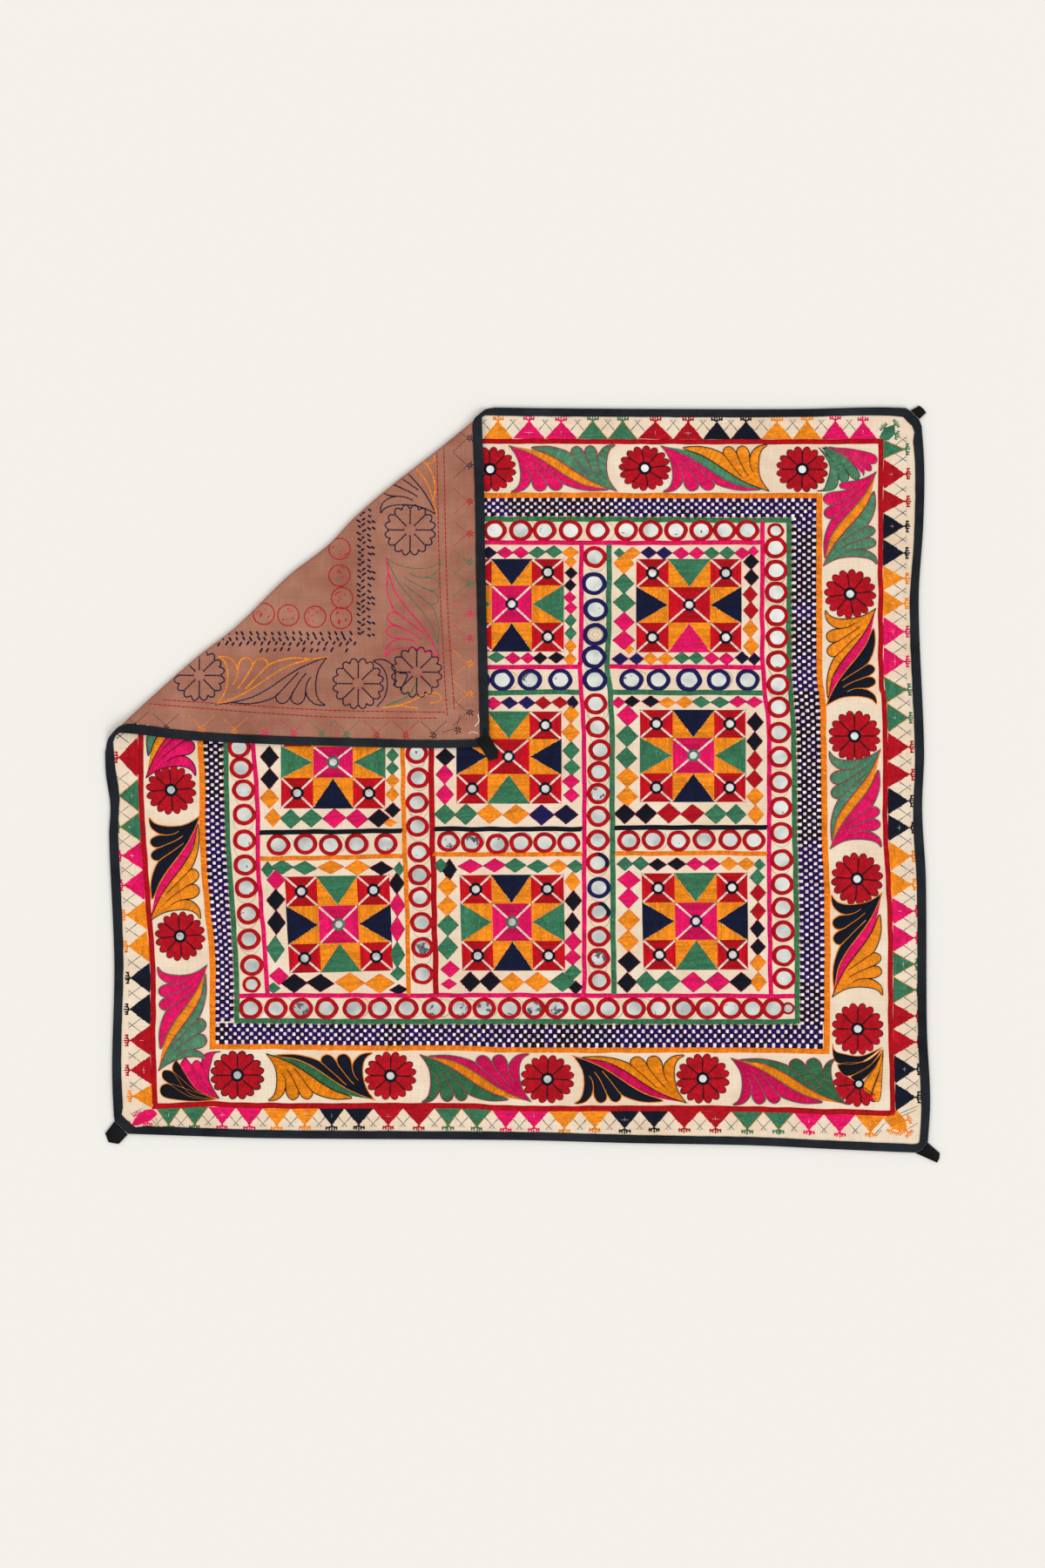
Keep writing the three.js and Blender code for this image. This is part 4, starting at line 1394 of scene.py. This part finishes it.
# colour, outline colour, root, tip, and how far each side bows out near the root and near the tip
cornerLeaves = [
    ("G", "K", (340, 386), (337, 336), (14, 11), (22, 24)),
    ("G", "K", (344, 386), (371, 346), (0, -4), (9.5, 8)),
    ("G", "K", (346, 386), (385, 349), (0, -3), (10, 8)),
    ("P", "E", (347, 387), (391, 353), (4, 3), (9, 8)),
    ("P", "E", (352, 387), (400, 359), (1, -2), (7, 7)),
    ("P", "E", (356, 386), (407, 370), (-2, -5), (5, 7)),
    ("P", "K", (-348, -361), (-387, -314), (14, 13), (3, 0)),
    ("P", "K", (-348, -361), (-375, -317), (10, 9), (0, -3)),
    ("P", "K", (-348, -361), (-345, -307), (22, 22), (13, 11)),
    ("K", "O", (-350, -362), (-397, -316), (8, 2), (17, 14)),
    ("K", "O", (-350, -362), (-413, -330), (2, -5), (11, 9)),
    ("K", "O", (-350, -362), (-416, -350), (-4, -8), (7, 9)),
    ("K", "O", (413, -302), (356, -297), (12, 11), (19, 23)),
    ("K", "O", (413, -304), (361, -322), (7, 1), (14.5, 17)),
    ("K", "O", (413, -307), (376, -336), (3.5, 1), (9.5, 11.5)),
    ("O", "K", (414, -305), (399, -356), (-3, -11), (2.5, 1)),
    ("O", "K", (414, -309), (406, -365), (-1.5, -6), (2, 4)),
]
for colour, edge, root, tip, *bows in cornerLeaves:
    root, tip = Vector(root), Vector(tip)
    way = (tip - root).normalized()
    normal = Vector((-way.y, way.x))
    sides = []
    for low, high in bows:
        bends = (0.4, low), (0.82, high), (0.96, high * 0.7)
        sides.append([root, *(root.lerp(tip, share) + normal * out for share, out in bends), tip])
    leafBand(*sides, colour, Vector, edge, width=1.0)
leafPiece = leaves.finish(onFace)
print("leaf sprays stitched")

# the border of triangles: the line it stands on, the way out, the height, the colours and where they meet
borders = {
    "top": ("redTop", 1, 22, "OPPGGRRNNOOPP", [
        -45, -11, 26, 63, 98, 132, 173, 207, 239, 274, 310, 343, 375, 407]),
    "right": ("redRight", 1, 26.5, "GRRNNOOPPGGRRNNOOPPGGRRNN", [
        395, 373, 338, 311, 280.5, 250, 222, 192, 157.5, 123.5, 93, 59, 26, -4, -35, -65.5, -100, -130.5,
        -161, -192.5, -221, -251.5, -281, -311, -343.5, -375,
    ]),
    "bottom": ("redBottom", -1, 21, "GGPPOONNRRGGPPOONNRRGGPPO", [
        -420, -392, -360.5, -329, -298, -266, -233.5, -204.5, -171.5, -137, -101, -70, -35, -3.5, 30, 66,
        100, 134.5, 167.5, 203.5, 239.5, 276.5, 311.5, 346, 382, 417,
    ]),
    "left": ("redLeft", -1, 25, "RGGPPOONNRRO", [
        55, 6, -32.5, -66, -98.5, -133.5, -167.5, -204.8, -240, -276.8, -311.8, -344.8, -372]),
}
borderLook = {"height": 0.7, "foot": 3.0, "edge": 0.9, "hand": 2.0, "handHeight": 0.9, "markShare": 0.4}
triangles = Embroidery("borderTriangles")
handStrokes = [  # a small hand: strokes from the tip of each triangle
    [(0, -3.5), (0, 4.6)], [(0, -1), (-5.8, 1.4)], [(0, -1), (5.8, 1.4)],
    [(-5.8, -0.6), (-5.9, 3.2)], [(5.8, -0.6), (5.9, 3.2)], [(-2.4, 0.4), (-3, 3.6)], [(2.4, 0.4), (3, 3.6)],
]
pencil = Embroidery("pencilLines")


def borderTriangle(left, right, out, colour, tall):
    base = (left + right) / 2
    tip = base + out * tall
    way = (right - left).normalized()
    bulge = {corner.freeze(): corner.lerp(tip, 0.5).lerp(base, 0.05) for corner in (left, right)}
    tone = "V" if colour == "N" else colour
    triangles.satin([left, bulge[left], tip, base], way, tone, borderLook["height"])
    triangles.satin([right, base, tip, bulge[right]], way, tone, borderLook["height"])
    if colour == "G":
        outlines.thread([left, bulge[left], tip], "O", borderLook["edge"], 0.8, 6)
        outlines.thread([tip, bulge[right], right], "O", borderLook["edge"], 0.8, 6)
    for start, end in handStrokes:
        swing = dice.uniform(-0.5, 0.5)
        ends = [tip + way * (p[0] + swing) + out * p[1] for p in (start, end)]
        shade = "K" if colour == "N" else colour
        outlines.thread(ends, shade, borderLook["hand"], borderLook["handHeight"], 9)
    if dice.random() < borderLook["markShare"]:
        middle = base + out * tall * dice.uniform(0.3, 0.5)
        wide = dice.uniform(2, 4.5)
        outlines.thread([middle - way * wide, middle + way * wide], "W", 0.9, 0.95, 9)
        outlines.thread([middle - out * 3, middle + out * 1.5], "W", 0.7, 0.95, 9)
    backPaths.append((colour, [left, tip]))
    backPaths.append((colour, [right, tip]))


def crossingGuides(a, b, out, tall):  # drawn lines that cross between the triangles
    run = (b - a).normalized()
    for side in (-1, 1):
        foot = a + run * side * 8 + out * tall * 0.42
        head = a - run * side * 2.2 + out * (tall - 1)
        pencil.thread([foot, head], "A", 1.1, 0.35, 9)
        pencil.thread([head, head - run * side * 2.2 + out * 1.2], "A", 0.9, 0.3, 9)
        pencil.thread([head - out * 1.5, head + run * side * 1.2 + out * 1.6], "A", 0.9, 0.3, 9)


for name, (line, way, tall, colours, ends) in borders.items():
    vertical = name in ("right", "left")
    out = Vector((way, 0)) if vertical else Vector((0, way))
    for colour, *pair in zip(colours, ends, ends[1:]):
        sides = [across(line, at, vertical) + way * borderLook["foot"] for at in pair]
        a, b = (Vector((side, at) if vertical else (at, side)) for side, at in zip(sides, pair))
        borderTriangle(a, b, out, colour, tall * dice.uniform(0.96, 1.04))
        crossingGuides(a, b, out, tall)
cornerMotifs = [  # the odd shapes at the corners of the border, and where their hands grow
    ("G", [(409.6, 397.9), (415.9, 408.3), (426.8, 412.3), (427.4, 402), (420, 394.5), (413.6, 394.5)],
     [((416, 408), (-0.7, 0.7)), ((427, 412), (0.8, 0.6)), ((427.5, 401), (0.9, -0.3))]),
    ("P", [(-424.6, -373), (-419.4, -379.3), (-428, -386.6), (-440.6, -391.4), (-449, -391.8),
           (-444.1, -383.3), (-434, -374.4)],
     [((-441, -381), (-0.4, 0.9)), ((-448, -391), (-1, -0.3)), ((-430, -388), (0, -1))]),
    ("O", [(429.6, -374.5), (439.6, -386.2), (441.4, -398.8), (432, -397.4), (424.4, -395), (414.8, -383.8)],
     [((424, -396.5), (-0.4, -1)), ((433, -398), (0.2, -1)), ((442, -399.5), (0.7, -0.7)),
      ((441.4, -385.6), (0.9, 0.4))]),
]
cornerGuides = [
    [(433.5, -378), (453.6, -369.4)], [(435.5, -381), (452, -374)], [(443, -395.4), (453.6, -389)],
    [(403, -403.6), (416.6, -388.4)], [(406, -403.8), (412, -397)],
    [(-436, -372), (-449.6, -379)], [(-421, -383), (-416, -394)],
]
for places in cornerGuides:
    pencil.thread([Vector(p) for p in places], "A", 1.1, 0.35, 9)
for colour, shape, hands in cornerMotifs:
    triangles.satin(shape, (1, 0.4), colour, borderLook["height"])
    for start, out in hands:
        out = Vector(out).normalized()
        way = Vector((-out.y, out.x))
        for first, second in handStrokes:
            ends = [Vector(start) + way * p[0] * 0.8 + out * (p[1] + 1.5) * 0.9 for p in (first, second)]
            outlines.thread(ends, colour, 1.5, borderLook["handHeight"], 9)
trianglePiece = triangles.finish(onFace)
print("border stitched")

rowMirrors = sorted(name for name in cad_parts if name.startswith("mirror_"))
ringRows = [  # colour, outer radius, and the places of the rings
    ("L", 12.7, [
        (-325.5, 42), (-323, 18.5), (-320, -7), (-319.3, -35), (-319, -64.5), (-318.4, -93), (-317, -119),
        (-314.6, -149), (-314, -178), (-310.6, -208)]),
    ("L", 9.9, [(-311, -230)]),
    ("L", 12.4, [
        (-121.5, 35), (-119.5, 7), (-121, -21.5), (-120.5, -48.7), (-119, -78), (-118.5, -104.5),
        (-117.7, -130), (-116, -159), (-114.8, -187.6), (-114.8, -218),
    ]),
    ("L", 12.9, [(83, 260.4)]),
    ("B", 13.7, [(82, 230), (84, 200), (83.5, 171.4), (82, 145.6), (83, 119.6)]),
    ("L", 12.6, [
        (84, 92), (86, 65), (89, 39), (87.6, 14), (87, -11), (87, -37), (86.5, -64.5), (86.3, -90.7)]),
    ("B", 12.7, [(87.7, -119)]),
    ("L", 12.3, [(87.7, -147)]),
    ("L", 12.3, [(87.7, -175), (87.4, -200), (88.2, -225.6)]),
    ("B", 13.1, [(-51, 119.5), (-23.3, 119.5), (8.5, 119.5), (43.3, 119.5)]),
    ("B", 12.9, [(125, 119.5), (156, 119.5), (225, 119.5), (258.4, 119.5)]),
    ("B", 14.1, [(191, 119.5)]),
    ("L", 12.7, [(-280, -70), (-249, -68.8), (-220.3, -70), (-190.5, -68.8), (-157, -68.6)]),
    ("L", 12.4, [(-85, -66), (-58, -67), (-29, -69), (-2, -67.6), (25.5, -67.3), (53, -67.3)]),
    ("L", 12.5, [(122, -65), (150, -63.8), (179, -65.5), (208.5, -63.8), (238, -64), (265.5, -64.5)]),
    ("L", 9.1, [(290.5, 290.5)]),
    ("L", 7.2, [(304.8, -257.5)]),
]
mendedRings = [(86.3, -90.7), (87.7, -147)]  # a quarter of these was sewn again in navy
bareRing = Vector((83.5, 171.4))  # its glass is lost
darkGlass = [
    (-102, -257.5), (-72, -257.5), (-44, -257.5), (-15, -257.5), (13, -257.5), (39, -257.5), (128, -257.5),
    (-85, -66), (-58, -67), (8.5, 119.5), (-114.8, -187.6), (87, -11), (87.4, -200), (-254, -257.5),
]
rings = {
    "rowRadius": 12.8,  # of the rings round the mirrors that are nodes of the part
    "stretch": (1.05, 0.965),
    # share of the radius, and height
    "section": [(1.02, -0.15), (0.98, 0.8), (0.86, 1.7), (0.71, 1.65), (0.63, 1.2)],
    "smallSection": [(1.0, -0.1), (0.96, 1.3), (0.78, 1.6), (0.57, 1.25)],
    "steps": 40,
    "glass": 0.67,  # share of the radius
    "smallGlass": 0.63,
    "onCloth": 0.25,  # from the cloth to the glass
    "tilt": 1.2,  # degrees, to either side
}
allRings = []
for name in rowMirrors:
    low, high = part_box(name)
    centre = (Vector(low) + Vector(high)) / 2 / mm
    allRings.append((centre.xy, rings["rowRadius"], "L"))
for colour, radius, places in ringRows:
    allRings += [(Vector(p), radius, colour) for p in places]
ringStitching = Embroidery("mirrorRings")


def stitchedRing(centre, radius, colour, small):
    section = rings["smallSection" if small else "section"]
    count = rings["steps"] // 2 if small else rings["steps"]
    work, grid = gridOf(count + 1, len(section))
    shade, strand = ringStitching.layers(work)
    wobble = [dice.uniform(-0.03, 0.03) for _ in range(5)]
    wide, tall = (1, 1) if small else rings["stretch"]
    for i, line in enumerate(grid):
        k = i % count
        angle = 2 * math.pi * k / count
        grow = 1 + sum(w * math.sin((n + 2) * angle + 40 * w) for n, w in enumerate(wobble)) * 0.55
        for (share, high), vert in zip(section, line):
            reach = radius * share * grow
            lift = high * (1.0 if k % 2 or high < 0 else 0.82)
            out = Vector((wide * math.cos(angle), tall * math.sin(angle))) * reach
            vert.co = (*(centre + out), lift)
    threads = threadsOf(work, grid)
    bmesh.ops.remove_doubles(work, verts=work.verts, dist=0.001)
    strandStart = dice.random() * 20
    ringStitching.colour(
        work, shade, strand, floss[colour], lambda face: threads.get(face, 0),
        lambda co, thread: (
            math.hypot(co.x - centre.x, co.y - centre.y) + strandStart,
            abs(math.atan2(co.y - centre.y, co.x - centre.x)) * radius),
    )
    if any((centre - Vector(p)).length < 4 for p in mendedRings):
        for face in work.faces:
            spot = face.calc_center_median() - centre.to_3d()
            if -0.5 < math.atan2(spot.y, spot.x) < 1.5:
                for loop in face.loops:
                    loop[shade] = (*floss["N"], 1.0)
    ringStitching.take(work)
    backPaths.append((colour, roundLine(centre, radius * 0.95, 0.35)))


glassWork = bmesh.new()
glassWork.verts.layers.float.new("tarnish")
glassWork.verts.layers.float.new("dimness")


def tilt(axis):
    return Matrix.Rotation(math.radians(dice.uniform(-rings["tilt"], rings["tilt"])), 3, axis)


def glassDisc(centre, radius, thick, tarnish=0.0, dimmer=0.0):
    work = bmesh.new()
    tarnishLayer = work.verts.layers.float.new("tarnish")
    dimLayer = work.verts.layers.float.new("dimness")
    # painted reflection: a disc's glass is greyer towards the bottom left and at random, and brighter where
    # dimmer is below nought
    dimness = 0.55 + dimmer - 0.0006 * centre.x - 0.001 * centre.y + dice.uniform(-0.12, 0.12)
    bmesh.ops.create_circle(work, cap_ends=True, radius=radius, segments=20)
    bmesh.ops.scale(work, vec=(*rings["stretch"], 1), verts=work.verts)
    made = bmesh.ops.extrude_face_region(work, geom=work.faces[:])
    raised = [v for v in made["geom"] if isinstance(v, bmesh.types.BMVert)]
    bmesh.ops.translate(work, vec=(0, 0, thick), verts=raised)
    bmesh.ops.recalc_face_normals(work, faces=work.faces)
    bmesh.ops.rotate(work, cent=(0, 0, 0.4), matrix=tilt("X") @ tilt("Y"), verts=work.verts)
    ground = onFace(centre.x, centre.y) or 2.3
    bmesh.ops.translate(work, vec=(centre.x, centre.y, ground + rings["onCloth"]), verts=work.verts)
    for vert in work.verts:
        vert[tarnishLayer] = tarnish
        vert[dimLayer] = min(max(dimness, 0.0), 1.0)
    gather(glassWork, work, carrier)


for centre, radius, colour in allRings:
    stitchedRing(centre, radius, colour, False)
    if (centre - bareRing).length > 2:
        dark = any((centre - Vector(p)).length < 4 for p in darkGlass)
        glassDisc(centre, radius * rings["glass"], 0.8, 0.7 if dark else 0.0)
for centre, radius, colour in smallMirrors:
    stitchedRing(centre, radius, colour, True)
    glassDisc(centre, radius * rings["smallGlass"], 0.45, dimmer=-0.15)
ringPiece = ringStitching.finish(onFace)
glassPiece = finishPiece("mirrorDiscs", glassWork, mirrorGlass)
glassPiece.data.shade_flat()
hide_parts(*rowMirrors)
outlinePiece = outlines.finish(onFace)
print("mirrors set")

# circles that were drawn before the stitching, between rings that stand side by side
for (centre, radius, _), (following, _, _) in zip(allRings, allRings[1:]):
    gap = following - centre
    if gap.length > 45:
        continue
    for _ in range(dice.choice((0, 1, 1, 2))):
        shift = gap.normalized() * dice.uniform(3, 10) + Vector((dice.uniform(-2, 2), dice.uniform(-2, 2)))
        pencil.thread(roundLine(centre + shift, radius * dice.uniform(0.72, 0.95)), "A", 0.75, 0.3, 4)
for radius in (4.6, 8.2):
    pencil.thread(roundLine(bareRing + Vector((0.6, 0)), radius, squash=0.8), "A", 0.6, 0.3, 4)
pencilPiece = pencil.finish(onFace, pencilLine)
print("guides drawn")

# the embroidery shows on the back as running stitches
running = {"length": 3.8, "gap": 1.2, "width": 0.9, "height": 0.35}
underside = Embroidery("undersideStitches")
foldedBack = Embroidery("foldedCornerStitches")


def runningStitches(piece, path, colour, length, gap, width):
    count = max(1, round(lengthOf(path) / (length + gap)))
    fine = evenly(path, count * 4 + 1)
    cover = length / (length + gap)
    for k in range(count):
        a = fine[4 * k]
        b = fine[4 * k + 4].lerp(fine[4 * k + 3], min(4 * (1 - cover), 1.0))
        middle = fine[4 * k + 2].lerp((a + b) / 2, 0.3)
        drift = Vector((dice.uniform(-0.25, 0.25), dice.uniform(-0.25, 0.25)))
        piece.thread([a + drift, middle, b - drift], colour, width, running["height"], None)


for colour, path in backPaths:
    runningStitches(underside, path, colour, running["length"], running["gap"], running["width"])


def under(x, y):
    return dropTo(backTree, x, y, dropFrom["underside"], 1)


for vert in underside.all.verts:
    vert.co.z = -max(vert.co.z, 0.0)
undersidePiece = underside.finish(under)


def onBack(x, y):
    return dropTo(backTree, x, y, dropFrom["foldedCorner"], -1) if foldedRoom((x, y)) > 0 else None


# the outlines of the flowers and leaves show through on the folded corner
backFlowers = [(-128.8, 291.2), (-121.3, 128.2), (-188.4, 115.0), (-370.5, 124.5)]
for centre in backFlowers:
    for k in range(petals["count"]):
        side, scallop = petalEdges(centre, 29.6, 29.6, math.pi * (2 * k + 1) / petals["count"])
        runningStitches(foldedBack, side, "N", 4.5, 0.2, 2.1)
        runningStitches(foldedBack, scallop, "N", 3.6, 0.2, 2.1)
        if k % 2:
            runningStitches(foldedBack, scallop[5:8], "R", 2.4, 0.4, 2.3)
    runningStitches(foldedBack, roundLine(centre, 7.4), "M", 2.0, 1.6, 0.9)
backSprays = [
    ((-125.5, 201.5), 90, 0.92, 1.22, "GP"),
    ((-287.5, 118.2), 0, 1.02, 1.08, "NO"),
    ((-130.5, 363), 90, 0.87, 1.25, "ON"),
]
for centre, turn, long, wide, colours in backSprays:
    for flip, colour in ((-1, colours[0]), (1, colours[1])):
        place = placer(centre, turn, long, wide, flip)
        broad = 1.4 if colour == "G" else 2.0
        for k, (near, far) in enumerate(spray["lobes"]):
            if not k:
                near = near + [(-55, 24.2), (-64, 25.5)]
            for side, skipped in ((near, 6 if k else 0), (far, (3, 3, 3, 0)[k])):
                shown = smoothLine([place((-x, y)) for x, y in side[skipped:]], 2)
                runningStitches(foldedBack, shown, colour, 4.0, 0.3, broad)
cornerStrokes = [  # part of a leaf that the corner flower overlaps
    ("N", [(-171, 141), (-162, 143), (-152, 139), (-146, 131), (-146, 122), (-148, 112)]),
    ("N", [(-171, 141), (-161, 134), (-156, 124), (-155, 113), (-158, 100), (-167, 88.5)]),
    ("N", [(-141, 127), (-132, 126), (-135, 117), (-141, 107)]),
    ("O", [(-161.5, 87.5), (-142, 90), (-126, 96), (-108, 104), (-98, 104), (-93, 99), (-97, 94),
           (-106, 93)]),
    ("O", [(-144, 90), (-120, 87)]),
    ("G", [(-156, 90), (-133, 99.5), (-125, 110), (-121.5, 117)]),
]
for colour, places in cornerStrokes:
    runningStitches(foldedBack, smoothLine(places, 2), colour, 4.0, 0.3, 2.0)
backRings = [(-209.8, 269.5), (-209.8, 238.9), (-206.8, 213.1), (-208, 190.2), (-296.7, 195),
             (-268.5, 193.4), (-237.8, 191.7)]
for centre in backRings:
    runningStitches(foldedBack, roundLine(centre, 12.3), "R", 3.2, 0.3, 1.9)
    for _ in range(7):
        out = Vector((dice.uniform(-1, 1), dice.uniform(-1, 1))).normalized()
        spot = Vector(centre) + out * dice.uniform(2, 10)
        stroke = Vector((-out.y, out.x)) * dice.uniform(1.5, 4.5)
        foldedBack.thread([spot, spot + stroke / 2, spot + stroke], dice.choice("RMP"), 1.8, 0.35, None)
doubleLines = [
    [(-98.2, 382), (-94.4, 220), (-86.3, 77)], [(-90.2, 387), (-86.5, 220), (-78.2, 84.5)],
    [(-412, 96.4), (-321, 90.5), (-220, 84.5), (-87, 82.2)],
    [(-428.5, 92), (-320.7, 83.1), (-211.3, 76.5), (-97, 75.6)],
]
for places in doubleLines:
    runningStitches(foldedBack, smoothLine(places), "D", 3.8, 1.6, 1.6)
# the checked band shows as rows of leaning dashes
dashRows = [  # where a row starts and ends, its place across, its lean, and whether it is upright
    (330, 168, -187.6, -1, True), (326, 168, -182.6, 1, True), (322, 165, -176, -1, True),
    (300, 170, -170.6, -1, True), (-345, -195, 172.6, -1, False), (-352, -190, 166.4, -1, False),
    (-356, -184, 161, 1, False), (-300, -200, 154, 1, False),
]
sparseRows = (-170.6, 154)
for first, last, fixed, lean, vertical in dashRows:
    at = first
    way = 1 if last > first else -1
    while (last - at) * way > 0:
        spot = Vector((fixed, at)) if vertical else Vector((at, fixed))
        spot += Vector((dice.uniform(-1, 1), dice.uniform(-1, 1)))
        stroke = Vector((2.0, 1.3 * lean)) if vertical else Vector((1.3, 2.2 * lean))
        stroke *= dice.uniform(0.75, 1.15)
        if fixed not in sparseRows or dice.random() < 0.45:
            foldedBack.thread([spot - stroke, spot, spot + stroke], "N", 2.7, 0.6, None)
        at += way * (7.2 if vertical else 8.2)
# the border of triangles shows as small marks joined by dotted lines
rightMarks = "NNRRGGPPOOK", [396, 365, 324, 287, 254, 229, 195, 167, 138, 103, 82]
lowMarks = "KKOOPPGGRRK", [-444, -408.6, -368, -330, -295, -262, -230, -201.6, -167, -134, -102]
lowMarkLine = [(-445, 66), (-368, 62), (-262, 57), (-100, 55.5)]


def backMark(spot, colour, away, reach):
    for angle in (0.3, 1.3, 2.3, 3.4, 4.4, 5.5):
        way = Vector((math.cos(angle), math.sin(angle)))
        ends = [spot + way * out for out in (1.0, 2.4, dice.uniform(3.4, 5.2))]
        foldedBack.thread(ends, colour, 1.7, 0.4, None)
    side = Vector((-away.y, away.x))
    for half in (-1, 1):
        start = spot + away * 3
        runningStitches(foldedBack, [start, start + away * reach + side * half * 15.5], colour, 2.0, 1.7, 1.0)


for colour, at in zip(*rightMarks):
    backMark(Vector((-60, at)), colour, Vector((-1, 0)), 17)
for colour, at in zip(*lowMarks):
    backMark(Vector((at, follow(lowMarkLine, at))), colour, Vector((0, 1)), 14)
backMark(Vector((-74, 62)), "K", Vector((-0.7, 0.7)), 8)
whiteThread = [
    [(-441, 69), (-438, 65), (-433, 64), (-429, 68)],
    [(-62, 58), (-57, 60), (-51, 58)],
    [(-55, 66), (-50, 72), (-51, 80)],
]
for places in whiteThread:
    foldedBack.thread(smoothLine(places, 2), "W", 1.1, 0.9, None)
foldedPiece = foldedBack.finish(onBack)
print("back stitched")

studio = {
    "floor": paint(244, 241, 235),
    "floorSize": 14.0,
    "world": 0.61,
    "sun": 1.08,
    "fill": 0.4,  # against the sun
    "sunAngle": 38.0,
}
floorMesh = bpy.data.meshes.new("floor")
floorWork = bmesh.new()
bmesh.ops.create_grid(floorWork, x_segments=1, y_segments=1, size=studio["floorSize"] / 2)
floorWork.to_mesh(floorMesh)
floorWork.free()
floor = bpy.data.objects.new("floor", floorMesh)
bpy.context.collection.objects.link(floor)
floorColour = (*studio["floor"], 1.0)
paleFloor = Finish("pale floor", {"Base Color": floorColour, "Roughness": 1.0, "Specular IOR Level": 0.0})
floorMesh.materials.append(paleFloor.material)

world = bpy.data.worlds.new("studio")
bpy.context.scene.world = world
sky = NodeTree(world)
shown = sky.node("ShaderNodeLightPath", output="Is Camera Ray")  # these rays see the backdrop
for kind in ("Is Glossy Ray", "Is Transmission Ray"):
    shown = shown.math("MAXIMUM", shown, sky.node("ShaderNodeLightPath", output=kind))
lit = sky.node("ShaderNodeBackground", inputs={"Color": (1, 1, 1, 1), "Strength": studio["world"]})
backdrop = sky.node("ShaderNodeBackground", inputs={"Color": floorColour, "Strength": 1.0})
either = sky.node("ShaderNodeMixShader", inputs={0: shown, 1: lit, 2: backdrop})
sky.tree.links.new(either.socket, sky.tree.nodes["World Output"].inputs["Surface"])
sky.tree.nodes.remove(sky.tree.nodes["Background"])

lamps = ("keyLight", 1.0, (38, 0, 40)), ("fillLight", studio["fill"], (30, 0, -130))
for name, share, turn in lamps:
    lamp = bpy.data.lights.new(name, "SUN")
    lamp.energy = studio["sun"] * share
    lamp.angle = math.radians(studio["sunAngle"])
    lampObject = bpy.data.objects.new(name, lamp)
    lampObject.rotation_euler = tuple(math.radians(a) for a in turn)
    bpy.context.collection.objects.link(lampObject)

view = {"height": 5.0, "lens": 100.0}
cameraData = bpy.data.cameras.new("camera")
cameraData.lens = view["lens"]
cameraData.sensor_width = 36.0
camera = bpy.data.objects.new("camera", cameraData)
camera.location = (0, 0, view["height"])
bpy.context.collection.objects.link(camera)
bpy.context.scene.camera = camera
bpy.context.scene.view_settings.view_transform = "Standard"
